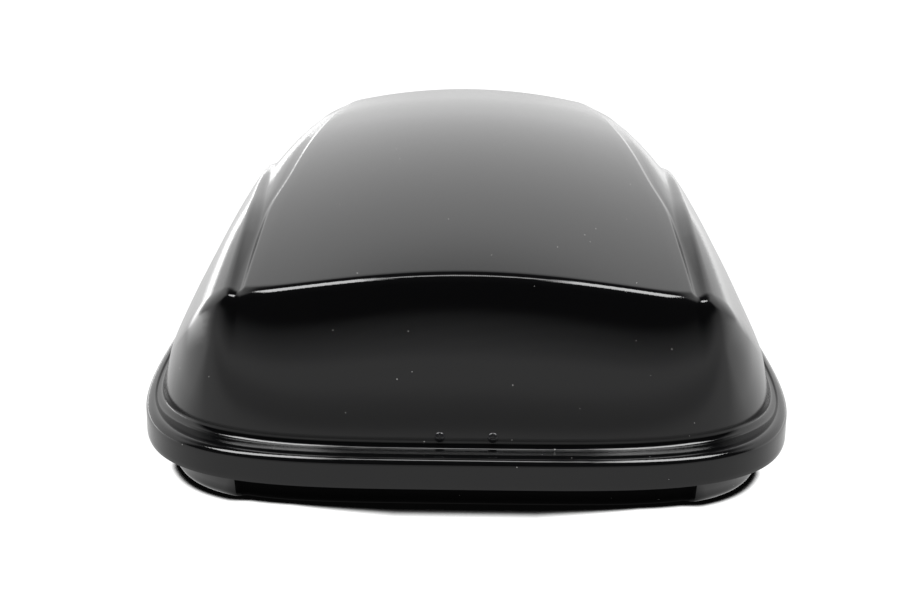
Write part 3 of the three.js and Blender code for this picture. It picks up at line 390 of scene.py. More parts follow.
# Cuts the bodies out of a closed mesh, or joins them to it
def cutWith(obj, cutters, operation="DIFFERENCE"):
    cutter = joined("cutter", cutters)
    modifier = obj.modifiers.new("cut", "BOOLEAN")
    modifier.operation = operation
    modifier.solver = "MANIFOLD"
    modifier.object = cutter
    madeReal(obj, obj.data.name)
    bpy.data.objects.remove(cutter)
    return obj


# The lid's outer sheet with a wall inside it, level across the skirt so that its lower edge stays flat
def buildLid():
    points, quads, count = lidSheet()
    inward = sheetNormals(points, quads)
    skirt = np.arange(len(points)) < (len(ledge["lip"]) + lidDetail["skirtRings"]) * count
    inward[skirt, 2] = 0
    inward[skirt] /= np.maximum(np.linalg.norm(inward[skirt], axis=1), 1e-9)[:, None]
    inside = points - boxShape["sheet"] * inward
    offset = len(points)
    here = np.arange(count)
    after = (here + 1) % count
    ring = np.stack([offset + here, offset + after, after, here], 1)
    faces = np.concatenate([quads, quads[:, ::-1] + offset, ring])
    return meshObject("lid_formed_sheet", np.concatenate([points, inside]), faces)


# Sides and ends of a prism, from one ring of points below and one above
def prismFaces(count):
    return ringQuads(count, 2).tolist() + [list(range(count))[::-1], list(range(count, 2 * count))]


# Solid bar of round section between two points, in millimetres, used to cut bores
def roundBar(name, start, end, radius, sides=48):
    start, end = np.array(start, float), np.array(end, float)
    axis = (end - start) / np.linalg.norm(end - start)
    side = np.cross(axis, (0, 0, 1) if abs(axis[2]) < 0.9 else (1, 0, 0))
    side /= np.linalg.norm(side)
    up = np.cross(axis, side)
    turns = np.linspace(0, 2 * math.pi, sides, endpoint=False)
    circle = radius * (np.cos(turns)[:, None] * side + np.sin(turns)[:, None] * up)
    return meshObject(name, np.concatenate([start + circle, end + circle]), prismFaces(sides))


# Tray of the base in millimetres: insets at the rear, the sides and the front, corner blocks, upstand
trayShape = {"floor": (90, 72, 100), "top": (60, 52, 60), "round": 12, "inner": (9, 10), "innerLow": 14,
             "flange": 64, "recess": 8, "recessHalf": 0.65, "recessFade": 12, "recessSteps": 7,
             "blockFloor": 22, "blockTop": 24, "blockSpan": (0.66, 0.76), "blockPower": 4.8,
             "acrossSteps": 44, "sideSteps": 120, "wallSteps": 9, "turnSteps": 7,
             "upstand": ((13.5, 64), (12.4, 64.4), (12, 65.5), (12, 74), (12, 83.2), (12.3, 83.8),
                         (12.9, 84), (14.6, 84), (15.2, 83.8), (15.5, 83.2), (15.5, 76), (15.5, 69),
                         (16.2, 68))}


def trayAngles():
    corners = [lidDetail["rearCorner"], lidDetail["frontCorner"]]
    ends = [float(outline(corner, trayShape["floor"])[1]) for corner in corners]
    powers = (boxShape["rearPower"][0], boxShape["frontPower"][0])
    half = halfWidth * boxShape["rearShare"] - trayShape["floor"][1]
    edge = trayShape["recessHalf"] * halfWidth
    across = []
    for corner, power in zip(corners, powers):
        top = math.cos(corner) ** (2 / power)
        places = np.linspace(0, top, trayShape["acrossSteps"], endpoint=False)
        if corner < 0:
            near = edge + np.linspace(-0.5, 0.5, trayShape["recessSteps"]) * trayShape["recessFade"]
            places = np.sort(np.concatenate([places, near / half]))
        across.append(np.sign(corner) * np.arccos(np.clip(places, 0, 1) ** (power / 2)))
    side = [float(angleAtY(y, trayShape["floor"]))
            for y in np.linspace(*ends, trayShape["sideSteps"] + 1)]
    right = np.concatenate([across[0], side, across[1][::-1]])
    return np.concatenate([right, math.pi - right[1:-1][::-1]])


# One ring of the tray's wall, with its recess at the rear and its blocks at the corners
def trayRing(angles, inset, blockIn, z):
    along = -outline(angles, inset)[1] / halfLength
    block = ease(through(along, trayShape["blockSpan"]))
    power = mix(boxShape["rearPower"][0], trayShape["blockPower"], block)
    c, s = np.cos(angles), np.sin(angles)
    rearSide = s < 0
    widthPower = np.where(rearSide, power, boxShape["frontPower"][0])
    lengthPower = np.where(rearSide, boxShape["rearPower"][1], boxShape["frontPower"][1])
    reach = halfLength - np.where(rearSide, inset[0], inset[2])
    y = reach * np.sign(s) * np.abs(s) ** (2 / lengthPower)
    half = halfWidth * taper(y, boxShape["straightFront"] * halfLength) - mix(inset[1], blockIn, block)
    x = half * np.sign(c) * np.abs(c) ** (2 / widthPower)
    edge = trayShape["recessHalf"] * halfWidth
    hollow = 1 - ease((np.abs(x) - edge) / trayShape["recessFade"] + 0.5)
    hollow = np.where(y < -halfLength / 2, hollow, 0)
    return np.stack([x, y + trayShape["recess"] * hollow, np.full(len(x), float(z))], 1)


# Long slot with round ends, which narrows upwards by its lean
def slotBody(name, x, y0, y1, wide, z0, z1, lean=0, steps=12):
    turns = np.linspace(0, math.pi, steps)
    radius = wide / 2
    points = []
    for z, less in ((z0, 0), (z1, lean)):
        for end, way in ((y1 - radius, 1), (y0 + radius, -1)):
            for turn in turns:
                points.append((x + way * (radius - less) * math.cos(turn),
                               end + way * (radius - less) * math.sin(turn), z))
    return meshObject(name, points, prismFaces(2 * steps))


beads = {"apart": 105, "wide": 34, "high": 8, "lean": 5, "past": 1,
         "spans": ((-0.755, -0.5), (-0.29, 0.29), (0.5, 0.71))}
clampSlots = {"x": 235, "wide": 22, "near": 209.8, "far": 479.8, "past": 5}


def buildBase():
    angles = trayAngles()
    sheet, turn = boxShape["sheet"], trayShape["round"]
    more = lambda inset, extra: [value + extra for value in inset]
    floorRing = lambda extra, z: trayRing(angles, more(trayShape["floor"], extra),
                                          trayShape["blockFloor"] + extra, z)
    topRing = lambda extra, z: trayRing(angles, more(trayShape["top"], extra),
                                        trayShape["blockTop"] + extra, z)
    plainRing = lambda inset, z: np.stack([*outline(angles, (inset,) * 3),
                                           np.full(len(angles), float(z))], 1)
    upWall = np.linspace(0, 1, trayShape["wallSteps"])
    rings = [floorRing(turn * (1 - math.sin(t)), turn * (1 - math.cos(t))) for t in upWall * math.pi / 2]
    low, high = rings[-1], topRing(0, trayShape["flange"])
    rings += [mix(low, high, t) for t in upWall[1:]]
    rings += [plainRing(inset, z) for inset, z in trayShape["upstand"]]
    rings.append(topRing(sheet, trayShape["flange"] + sheet))
    innerHigh, innerLow = rings[-1], floorRing(sheet, trayShape["innerLow"])
    rings += [mix(innerHigh, innerLow, t) for t in upWall[1:]]
    innerIn, innerUp = trayShape["inner"]
    rings += [floorRing(sheet + innerIn * (1 - math.cos(t)), sheet + innerUp * (1 - math.sin(t)))
              for t in np.linspace(0, math.pi / 2, trayShape["turnSteps"])[1:]]
    count = len(angles)
    points = np.concatenate([*rings, [(0, 0, 0), (0, 0, sheet)]])
    faces = ringQuads(count, len(rings)).tolist()
    under, middle, last = len(points) - 2, len(points) - 1, (len(rings) - 1) * count
    faces += [[under, (k + 1) % count, k] for k in range(count)]
    faces += [[middle, last + k, last + (k + 1) % count] for k in range(count)]
    tray = meshObject("base_formed_tray", points, faces)
    spans = [(a * halfLength, b * halfLength) for a, b in beads["spans"]]
    places = [(k * beads["apart"], span) for span in spans for k in (-1, 0, 1)]
    raised = [slotBody("bead", x, a, b, beads["wide"], sheet / 2, sheet + beads["high"], beads["lean"])
              for x, (a, b) in places]
    cutWith(tray, raised, "UNION")
    hollows = [slotBody("bead_hollow", x, a + sheet, b - sheet, beads["wide"] - 2 * sheet,
                        -beads["past"], beads["high"], beads["lean"]) for x, (a, b) in places]
    for side in (-1, 1):
        for a, b in ((-clampSlots["far"], -clampSlots["near"]), (clampSlots["near"], clampSlots["far"])):
            hollows.append(slotBody("slot", side * clampSlots["x"], a, b, clampSlots["wide"],
                                    -clampSlots["past"], sheet + clampSlots["past"]))
    cutWith(tray, hollows)
    shadeSmooth(tray, 35)
    return tray


base = buildBase()
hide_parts("base_shell")
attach(base, "base")
print("base:", len(base.data.vertices), "points")

lid = buildLid()
screwPlace = {"apart": 58, "z": 106, "bore": 2.3, "out": 12, "in": 14, "lean": math.atan2(24, 181.2)}
keyPlace = {"y": -125.1, "z": 138, "bore": 9.3, "inside": 370, "outside": 400}


# Place along the box of the rear wall's face
def rearWallY(x, z):
    low, high = ledge["top"] + ledge["troughRound"], spine["rear"]
    deep = []
    for inset in (ledge["foot"], ledge["wallTop"]):
        share = abs(x) / (halfWidth * boxShape["rearShare"] - inset[1])
        c = share ** (boxShape["rearPower"][0] / 2)
        deep.append((halfLength - inset[0]) * math.sqrt(1 - c * c) ** (2 / boxShape["rearPower"][1]))
    return -mix(deep[0], deep[1], (z - low) / (high - low))


lean = screwPlace["lean"]
screwAxis = np.array([0, math.cos(lean), -math.sin(lean)])
screwHeads = [np.array([x, rearWallY(x, screwPlace["z"]), screwPlace["z"]])
              for x in (-screwPlace["apart"] / 2, screwPlace["apart"] / 2)]
keyEnds = [(x, keyPlace["y"], keyPlace["z"]) for x in (keyPlace["inside"], keyPlace["outside"])]
bores = [roundBar("key_bore", *keyEnds, keyPlace["bore"])]
bores += [roundBar("screw_bore", head - screwPlace["out"] * screwAxis,
                   head + screwPlace["in"] * screwAxis, screwPlace["bore"]) for head in screwHeads]
cutWith(lid, bores)
shadeSmooth(lid, 40)
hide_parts("lid_shell")
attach(lid, "lid")
print("lid:", len(lid.data.vertices), "points")


# Finished copies of the smaller nodes: doubles merged, outer edges rounded, turned faces smooth
edgeFinish = {"width": 0.0005, "segments": 2, "turn": 34, "smooth": 40, "weld": 0.000002, "flat": 0.5}
bodies = frame["record"]["behaviour"]["bodies"]
bodyOf = {name: body for body, members in bodies.items() for name in members}
formed = ("lid_shell", "base_shell", "guide_screw_left", "guide_screw_right")


def finishedCopy(name, values):
    body = bmesh.new()
    body.from_mesh(nodes[name].data)
    bmesh.ops.remove_doubles(body, verts=body.verts, dist=values["weld"])
    bmesh.ops.dissolve_limit(body, angle_limit=math.radians(values["flat"]), verts=body.verts,
                             edges=body.edges)
    layer = body.edges.layers.float.new("bevel_weight_edge")
    for edge in body.edges:
        closed = len(edge.link_faces) == 2
        turned = closed and edge.calc_face_angle_signed() > math.radians(values["turn"])
        edge[layer] = 1 if turned else 0
    mesh = bpy.data.meshes.new(name + "_finished")
    body.to_mesh(mesh)
    body.free()
    obj = bpy.data.objects.new(name + "_finished", mesh)
    scene.collection.objects.link(obj)
    bevel = obj.modifiers.new("edges", "BEVEL")
    bevel.width, bevel.segments = values["width"], values["segments"]
    bevel.limit_method = "WEIGHT"
    madeReal(obj, obj.name)
    shadeSmooth(obj, values["smooth"])
    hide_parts(name)
    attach(obj, bodyOf[name])
    return obj


finished = {name: finishedCopy(name, edgeFinish) for name in nodes if name not in formed}
print("finished copies:", len(finished))

# Cross-recess pan head and shank in millimetres, with the head's face up
screwShape = {"head": 5.8, "rise": 2.9, "rim": 0.7, "shank": 2, "length": 12, "recess": (7.2, 2),
              "deep": 2.1, "taper": 0.7, "past": 1, "sides": 40, "domeSteps": 8}


def screwBody(values):
    turns = np.linspace(0, 2 * math.pi, values["sides"], endpoint=False)
    dome = np.linspace(0, math.pi / 2, values["domeSteps"])[:-1]
    profile = [(values["shank"], -values["length"]), (values["shank"], 0), (values["head"], 0)]
    profile += [(values["head"] * math.cos(t), mix(values["rim"], values["rise"], math.sin(t)))
                for t in dome]
    points = [(radius * math.cos(t), radius * math.sin(t), z) for radius, z in profile for t in turns]
    sides = values["sides"]
    last = (len(profile) - 1) * sides
    faces = ringQuads(sides, len(profile)).tolist()
    points += [(0, 0, -values["length"]), (0, 0, values["rise"])]
    faces += [(len(points) - 2, (i + 1) % sides, i) for i in range(sides)]
    faces += [(len(points) - 1, last + i, last + (i + 1) % sides) for i in range(sides)]
    screw = meshObject("screw", points, faces)
    long, wide = (half / 2 for half in values["recess"])
    low, high, taper = values["rise"] - values["deep"], values["rise"] + values["past"], values["taper"]
    cross = [(wide, long), (-wide, long), (-wide, wide), (-long, wide), (-long, -wide), (-wide, -wide),
             (-wide, -long), (wide, -long), (wide, -wide), (long, -wide), (long, wide), (wide, wide)]
    points = [(x * taper, y * taper, low) for x, y in cross] + [(x, y, high) for x, y in cross]
    cutWith(screw, [meshObject("recess", points, prismFaces(len(cross)))])
    shadeSmooth(screw, 35)
    return screw


# Node helpers
def addNode(tree, kind, **values):
    node = tree.nodes.new(kind)
    for key, value in values.items():
        setattr(node, key, value)
    return node


def mathNode(tree, operation, *values):
    node = addNode(tree, "ShaderNodeMath", operation=operation)
    for k, value in enumerate(values):
        if isinstance(value, (int, float)):
            node.inputs[k].default_value = value
        else:
            tree.links.new(value, node.inputs[k])
    return node.outputs[0]


def newGroup(name, inputs, outputs):
    tree = bpy.data.node_groups.new(name, "ShaderNodeTree")
    for label, start in inputs.items():
        socket = tree.interface.new_socket(name=label, in_out="INPUT", socket_type="NodeSocketFloat")
        socket.default_value = start
    for label in outputs:
        tree.interface.new_socket(name=label, in_out="OUTPUT", socket_type="NodeSocketFloat")
    return tree, addNode(tree, "NodeGroupInput"), addNode(tree, "NodeGroupOutput")


# Fine diamond lattice pressed into the sheet, laid on each face from its own side
def embossGroup():
    tree, given, result = newGroup("embossedGrain", {"Pitch": 0.0023, "Sharpness": 4.0}, ["Height"])
    place = addNode(tree, "ShaderNodeTexCoord")
    axes = addNode(tree, "ShaderNodeSeparateXYZ")
    facing = addNode(tree, "ShaderNodeSeparateXYZ")
    tree.links.new(place.outputs["Object"], axes.inputs[0])
    tree.links.new(place.outputs["Normal"], facing.inputs[0])
    waves = mathNode(tree, "DIVIDE", 2 * math.pi, given.outputs["Pitch"])
    total, weights = None, None
    for across, along, face in ((0, 1, 2), (0, 2, 1), (1, 2, 0)):
        plus = mathNode(tree, "ADD", axes.outputs[across], axes.outputs[along])
        minus = mathNode(tree, "SUBTRACT", axes.outputs[across], axes.outputs[along])
        first = mathNode(tree, "COSINE", mathNode(tree, "MULTIPLY", plus, waves))
        second = mathNode(tree, "COSINE", mathNode(tree, "MULTIPLY", minus, waves))
        lattice = mathNode(tree, "MAXIMUM", first, second)
        strength = mathNode(tree, "ABSOLUTE", facing.outputs[face])
        weight = mathNode(tree, "POWER", strength, given.outputs["Sharpness"])
        part = mathNode(tree, "MULTIPLY", lattice, weight)
        total = part if total is None else mathNode(tree, "ADD", total, part)
        weights = weight if weights is None else mathNode(tree, "ADD", weights, weight)
    tree.links.new(mathNode(tree, "DIVIDE", total, weights), result.inputs["Height"])
    return tree


# Sparse specks of dust: small round dots where a coarse noise passes the amount
def dustGroup():
    start = {"Scale": 90.0, "Size": 0.06, "Amount": 0.5, "Patches": 23.0}
    tree, given, result = newGroup("dustSpecks", start, ["Mask"])
    place = addNode(tree, "ShaderNodeTexCoord")
    cells = addNode(tree, "ShaderNodeTexVoronoi")
    cells.inputs["Randomness"].default_value = 1
    tree.links.new(place.outputs["Object"], cells.inputs["Vector"])
    tree.links.new(given.outputs["Scale"], cells.inputs["Scale"])
    noise = addNode(tree, "ShaderNodeTexNoise")
    noise.inputs["Detail"].default_value = 3
    tree.links.new(given.outputs["Patches"], noise.inputs["Scale"])
    tree.links.new(place.outputs["Object"], noise.inputs["Vector"])
    near = mathNode(tree, "LESS_THAN", cells.outputs["Distance"], given.outputs["Size"])
    allowed = mathNode(tree, "GREATER_THAN", noise.outputs["Fac"], given.outputs["Amount"])
    tree.links.new(mathNode(tree, "MULTIPLY", near, allowed), result.inputs["Mask"])
    return tree


# Slow and fine unevenness together, about 0.5
def unevenGroup():
    start = {"Slow": 3.0, "Fine": 60.0, "Share": 0.4}
    tree, given, result = newGroup("softUnevenness", start, ["Value"])
    place = addNode(tree, "ShaderNodeTexCoord")
    parts = []
    for label, detail in (("Slow", 2), ("Fine", 4)):
        noise = addNode(tree, "ShaderNodeTexNoise")
        noise.inputs["Detail"].default_value = detail
        tree.links.new(place.outputs["Object"], noise.inputs["Vector"])
        tree.links.new(given.outputs[label], noise.inputs["Scale"])
        parts.append(noise.outputs["Fac"])
    fine = mathNode(tree, "MULTIPLY", parts[1], given.outputs["Share"])
    slow = mathNode(tree, "MULTIPLY", parts[0], mathNode(tree, "SUBTRACT", 1, given.outputs["Share"]))
    tree.links.new(mathNode(tree, "ADD", fine, slow), result.inputs["Value"])
    return tree


# Rubbed edges: where the surface turns outwards, broken up by noise
def edgeGroup():
    start = {"Reach": 0.04, "Scale": 40.0, "Amount": 0.6}
    tree, given, result = newGroup("edgeWear", start, ["Mask"])
    geometry = addNode(tree, "ShaderNodeNewGeometry")
    place = addNode(tree, "ShaderNodeTexCoord")
    noise = addNode(tree, "ShaderNodeTexNoise")
    noise.inputs["Detail"].default_value = 5
    tree.links.new(place.outputs["Object"], noise.inputs["Vector"])
    tree.links.new(given.outputs["Scale"], noise.inputs["Scale"])
    turned = mathNode(tree, "SUBTRACT", geometry.outputs["Pointiness"], 0.5)
    rub = mathNode(tree, "DIVIDE", turned, given.outputs["Reach"])
    rub = mathNode(tree, "MULTIPLY", rub, mathNode(tree, "MULTIPLY", noise.outputs["Fac"], 2))
    rub = mathNode(tree, "MINIMUM", mathNode(tree, "MAXIMUM", rub, 0), 1)
    tree.links.new(mathNode(tree, "MULTIPLY", rub, given.outputs["Amount"]), result.inputs["Mask"])
    return tree


groups = {"grain": embossGroup(), "dust": dustGroup(), "uneven": unevenGroup(), "edge": edgeGroup()}
print("surface effects ready")


def useGroup(tree, key, values):
    node = addNode(tree, "ShaderNodeGroup", node_tree=groups[key])
    for label, value in values.items():
        node.inputs[label].default_value = value
    return node.outputs[0]


def blendColours(tree, factor, first, second):
    node = addNode(tree, "ShaderNodeMix", data_type="RGBA")
    tree.links.new(factor, node.inputs["Factor"])
    for name, value in (("A", first), ("B", second)):
        socket = [s for s in node.inputs if s.name == name and s.type == "RGBA"][0]
        if isinstance(value, tuple):
            socket.default_value = (*value, 1)
        else:
            tree.links.new(value, socket)
    return [s for s in node.outputs if s.type == "RGBA"][0]


def rangeNode(tree, value, low, high, start=0.3, end=0.7):
    node = addNode(tree, "ShaderNodeMapRange")
    node.inputs["From Min"].default_value, node.inputs["From Max"].default_value = start, end
    node.inputs["To Min"].default_value, node.inputs["To Max"].default_value = low, high
    tree.links.new(value, node.inputs["Value"])
    return node.outputs[0]


def newMaterial(name, settings):
    material = bpy.data.materials.new(name)
    material.use_nodes = True
    tree = material.node_tree
    shader = tree.nodes["Principled BSDF"]
    shader.inputs["Metallic"].default_value = settings.get("metallic", 0)
    shader.inputs["IOR"].default_value = settings.get("ior", 1.5)
    return material, tree, shader


def bumpInto(tree, shader, height, strength, distance):
    bump = addNode(tree, "ShaderNodeBump")
    bump.inputs["Strength"].default_value = strength
    bump.inputs["Distance"].default_value = distance
    tree.links.new(height, bump.inputs["Height"])
    tree.links.new(bump.outputs["Normal"], shader.inputs["Normal"])


# Black formed sheet with a pressed lattice
formedSheet = {"colour": (0.0022, 0.0022, 0.0024), "worn": (0.008, 0.008, 0.0085),
               "dust": (0.3, 0.3, 0.29), "rough": (0.045, 0.075), "depth": 0.000011,
               "uneven": {"Slow": 4, "Fine": 120, "Share": 0.35}, "edge": {"Reach": 0.06, "Amount": 0.35},
               "specks": {"Scale": 70, "Size": 0.05, "Amount": 0.56},
               "grain": {"Pitch": 0.0023, "Sharpness": 6}}


def sheetMaterial(values):
    material, tree, shader = newMaterial("formed_black_sheet", values)
    uneven = useGroup(tree, "uneven", values["uneven"])
    worn = blendColours(tree, useGroup(tree, "edge", values["edge"]), values["colour"], values["worn"])
    dusty = blendColours(tree, useGroup(tree, "dust", values["specks"]), worn, values["dust"])
    tree.links.new(dusty, shader.inputs["Base Color"])
    tree.links.new(rangeNode(tree, uneven, *values["rough"]), shader.inputs["Roughness"])
    bumpInto(tree, shader, useGroup(tree, "grain", values["grain"]), 1.0, values["depth"])
    return material


# Moulded plastic with a spark-eroded skin
mouldedPlastic = {"colour": (0.014, 0.014, 0.015), "worn": (0.05, 0.05, 0.052), "rough": (0.42, 0.56),
                  "edge": {"Reach": 0.08, "Amount": 0.5}, "strength": 0.6, "depth": 0.00003,
                  "uneven": {"Slow": 12, "Fine": 900, "Share": 0.6}}


# Material of one colour that wears at its edges, over a fine unevenness
def wornMaterial(name, values):
    material, tree, shader = newMaterial(name, values)
    uneven = useGroup(tree, "uneven", values["uneven"])
    worn = blendColours(tree, useGroup(tree, "edge", values["edge"]), values["colour"], values["worn"])
    tree.links.new(worn, shader.inputs["Base Color"])
    tree.links.new(rangeNode(tree, uneven, *values["rough"]), shader.inputs["Roughness"])
    bumpInto(tree, shader, uneven, values["strength"], values["depth"])
    return material


# Zinc-plated steel with a drawn grain along the box
platedSteel = {"colour": (0.56, 0.57, 0.58), "dull": (0.34, 0.35, 0.36), "rough": (0.26, 0.42),
               "metallic": 1, "drawn": (1, 0.03, 1), "drawnScale": 700, "strength": 0.3,
               "depth": 0.00002, "uneven": {"Slow": 25, "Fine": 260, "Share": 0.5}}


def platedMaterial(values):
    material, tree, shader = newMaterial("zinc_plated_steel", values)
    place = addNode(tree, "ShaderNodeTexCoord")
    stretch = addNode(tree, "ShaderNodeMapping")
    stretch.inputs["Scale"].default_value = values["drawn"]
    tree.links.new(place.outputs["Object"], stretch.inputs["Vector"])
    drawn = addNode(tree, "ShaderNodeTexNoise")
    drawn.inputs["Scale"].default_value = values["drawnScale"]
    tree.links.new(stretch.outputs["Vector"], drawn.inputs["Vector"])
    uneven = useGroup(tree, "uneven", values["uneven"])
    mixed = blendColours(tree, uneven, values["dull"], values["colour"])
    tree.links.new(mixed, shader.inputs["Base Color"])
    tree.links.new(rangeNode(tree, drawn.outputs["Fac"], *values["rough"]), shader.inputs["Roughness"])
    bumpInto(tree, shader, drawn.outputs["Fac"], values["strength"], values["depth"])
    return material


# Steel under a black coat, rubbed through a little at its edges
coatedSteel = {"colour": (0.018, 0.018, 0.02), "worn": (0.2, 0.2, 0.21), "rough": (0.32, 0.46),
               "edge": {"Reach": 0.1, "Amount": 0.5}, "strength": 0.4, "depth": 0.00003,
               "uneven": {"Slow": 30, "Fine": 700, "Share": 0.6}}
blackScrew = {**coatedSteel, "colour": (0.003, 0.003, 0.0034), "worn": (0.09, 0.09, 0.095),
              "rough": (0.1, 0.2)}

finishes = {"shell": sheetMaterial(formedSheet),
            "plastic": wornMaterial("moulded_black_plastic", mouldedPlastic),
            "steel": platedMaterial(platedSteel),
            "dark_steel": wornMaterial("black_coated_steel", coatedSteel)}
slotOf = {part["node"]: part["material_slot"] for part in frame["record"]["subparts"]}


# Tree that sets a source piece on every point, turned by a lean about X and a spin of its own
def repeatTree(material):
    tree = bpy.data.node_groups.new("repeat_piece", "GeometryNodeTree")
    for name, kind in (("Geometry", "Geometry"), ("Piece", "Object"), ("Lean", "Float"),
                       ("Spin", "Float"), ("Seed", "Int")):
        tree.interface.new_socket(name, in_out="INPUT", socket_type="NodeSocket" + kind)
    tree.interface.new_socket("Geometry", in_out="OUTPUT", socket_type="NodeSocketGeometry")
    given = addNode(tree, "NodeGroupInput")
    result = addNode(tree, "NodeGroupOutput")
    piece = addNode(tree, "GeometryNodeObjectInfo")
    spin = addNode(tree, "FunctionNodeRandomValue", data_type="FLOAT")
    turn = addNode(tree, "ShaderNodeCombineXYZ")
    place = addNode(tree, "GeometryNodeInstanceOnPoints")
    whole = addNode(tree, "GeometryNodeRealizeInstances")
    coat = addNode(tree, "GeometryNodeSetMaterial")
    own = addNode(tree, "GeometryNodeRotateInstances")
    coat.inputs["Material"].default_value = material
    floats = [socket for socket in spin.inputs if socket.type == "VALUE" and socket.enabled]
    floats[0].default_value = 0
    tree.links.new(given.outputs["Spin"], floats[1])
    tree.links.new(given.outputs["Seed"], spin.inputs["Seed"])
    tree.links.new(given.outputs["Piece"], piece.inputs["Object"])
    tree.links.new(given.outputs["Geometry"], place.inputs["Points"])
    tree.links.new(piece.outputs["Geometry"], place.inputs["Instance"])
    tree.links.new(given.outputs["Lean"], turn.inputs[0])
    tree.links.new(turn.outputs[0], place.inputs["Rotation"])
    tree.links.new(place.outputs[0], own.inputs["Instances"])
    around = addNode(tree, "ShaderNodeCombineXYZ")
    value = [socket for socket in spin.outputs if socket.enabled][0]
    tree.links.new(value, around.inputs[2])
    tree.links.new(around.outputs[0], own.inputs["Rotation"])
    tree.links.new(own.outputs[0], whole.inputs[0])
    tree.links.new(whole.outputs[0], coat.inputs["Geometry"])
    tree.links.new(coat.outputs[0], result.inputs["Geometry"])
    return tree


# One mesh with the piece set on every point
def repeated(name, points, piece, tree, values):
    obj = meshObject(name, points, [])
    modifier = obj.modifiers.new("repeat", "NODES")
    modifier.node_group = tree
    for item in tree.interface.items_tree:
        if item.in_out == "INPUT" and item.name in values:
            modifier[item.identifier] = values[item.name]
        if item.in_out == "INPUT" and item.name == "Piece":
            modifier[item.identifier] = piece
    madeReal(obj, name)
    return obj


screw = screwBody(screwShape)
screws = repeated("guide_screws_detailed", [tuple(head) for head in screwHeads], screw,
                  repeatTree(wornMaterial("black_coated_steel", blackScrew)),
                  {"Lean": math.pi / 2 - lean, "Spin": 1.2, "Seed": 4})
bpy.data.objects.remove(screw)
shadeSmooth(screws, 35)
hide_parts("guide_screw_left", "guide_screw_right")
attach(screws, "lid")
print("screws:", len(screws.data.vertices), "points")

for name, obj in finished.items():
    dress(obj, finishes[slotOf[name]])
for piece in (lid, base):
    dress(piece, finishes["shell"])
print("finishes given")

# Studio: pale floor, white back, dark on the camera's side, softboxes overhead to the left and right. The
# floor's contact shadow, its glare to the sides, its darker strip ahead and its shade under the box are
# painted into its glow
studio = {"floorHalf": 14, "floorBright": 1.15, "contactMid": 0.036, "contactEnd": 0.013,
          "contactAt": (0.08, 0.2), "contactRange": (0.6, 0.92), "contactDark": 0.002,
          "floorFront": 0.72, "sideFloor": 1.2, "sideAt": (0.5, 1.0), "besideAt": (-0.85, -0.6),
          "glare": (2.6, 0.5), "glareAt": (1.35, 1.6), "glareFrom": (0.1, 0.7),
          "dimAt": -1.64, "dimHalf": 0.42, "dimTo": 0.4,
          "underX": 0.275, "underY": (0.87, 0.832), "underAt": (-0.16, -0.04), "underFade": 0.016,
          "underDark": 0.03, "backFrom": 0.1, "backSlope": 4, "backBright": 1.0, "darkBright": 0.003,
          "frontTop": (1.9, 2.6), "backTop": 36, "backFade": 14, "skySeen": 1.0, "sideFrom": 0.14,
          "sideSlope": 2, "sideBright": 1.05, "sideLow": 0.1, "sideRise": (0.14, 0.36)}
softboxes = [{"place": (-1.5, -1.42, 2.4), "size": (1.8, 1.3), "radiance": 12},
             {"place": (1.5, -1.42, 2.4), "size": (1.8, 1.3), "radiance": 12},
             {"place": (0, -1.34, 2.4), "size": (1.1, 0.42), "radiance": 7}]


# Light from all round, by height and direction
def buildWorld(values):
    world = bpy.data.worlds.new("studio")
    scene.world = world
    world.use_nodes = True
    tree = world.node_tree
    background = tree.nodes["Background"]
    direction = addNode(tree, "ShaderNodeTexCoord")
    parts = addNode(tree, "ShaderNodeSeparateXYZ")
    tree.links.new(direction.outputs["Generated"], parts.inputs[0])
    unit = lambda value: mathNode(tree, "MINIMUM", mathNode(tree, "MAXIMUM", value, 0), 1)
    upward = mathNode(tree, "MULTIPLY", mathNode(tree, "ARCSINE", parts.outputs[2]), 180 / math.pi)
    below = mathNode(tree, "SUBTRACT", values["backTop"] + values["backFade"], upward)
    low = unit(mathNode(tree, "DIVIDE", below, values["backFade"]))
    back = mathNode(tree, "ADD", parts.outputs[1], values["backFrom"])
    behind = unit(mathNode(tree, "MULTIPLY", back, values["backSlope"]))
    aside = mathNode(tree, "SUBTRACT", mathNode(tree, "ABSOLUTE", parts.outputs[0]), values["sideFrom"])
    beside = unit(mathNode(tree, "MULTIPLY", aside, values["sideSlope"]))
    rising = rangeNode(tree, parts.outputs[2], values["sideLow"], values["sideBright"], *values["sideRise"])
    wide = mathNode(tree, "MULTIPLY", beside, rising)
    onwards = unit(mathNode(tree, "MULTIPLY", parts.outputs[1], values["backSlope"]))
    lit = mathNode(tree, "MAXIMUM", mathNode(tree, "MULTIPLY", behind, values["backBright"]),
                   mathNode(tree, "MULTIPLY", wide, onwards))
    bright = mathNode(tree, "ADD", mathNode(tree, "MULTIPLY", low, lit), values["darkBright"])
    ahead = rangeNode(tree, upward, values["floorFront"], 0, *values["frontTop"])
    ahead = mathNode(tree, "MULTIPLY", ahead, mathNode(tree, "SUBTRACT", 1, behind))
    bright = mathNode(tree, "MAXIMUM", bright, ahead)
    path = addNode(tree, "ShaderNodeLightPath")
    direct = path.outputs["Is Camera Ray"]
    seen = mathNode(tree, "MULTIPLY", direct, values["skySeen"])
    unseen = mathNode(tree, "MULTIPLY", mathNode(tree, "SUBTRACT", 1, direct), bright)
    tree.links.new(mathNode(tree, "ADD", seen, unseen), background.inputs["Strength"])
    background.inputs["Color"].default_value = (1, 1, 1, 1)
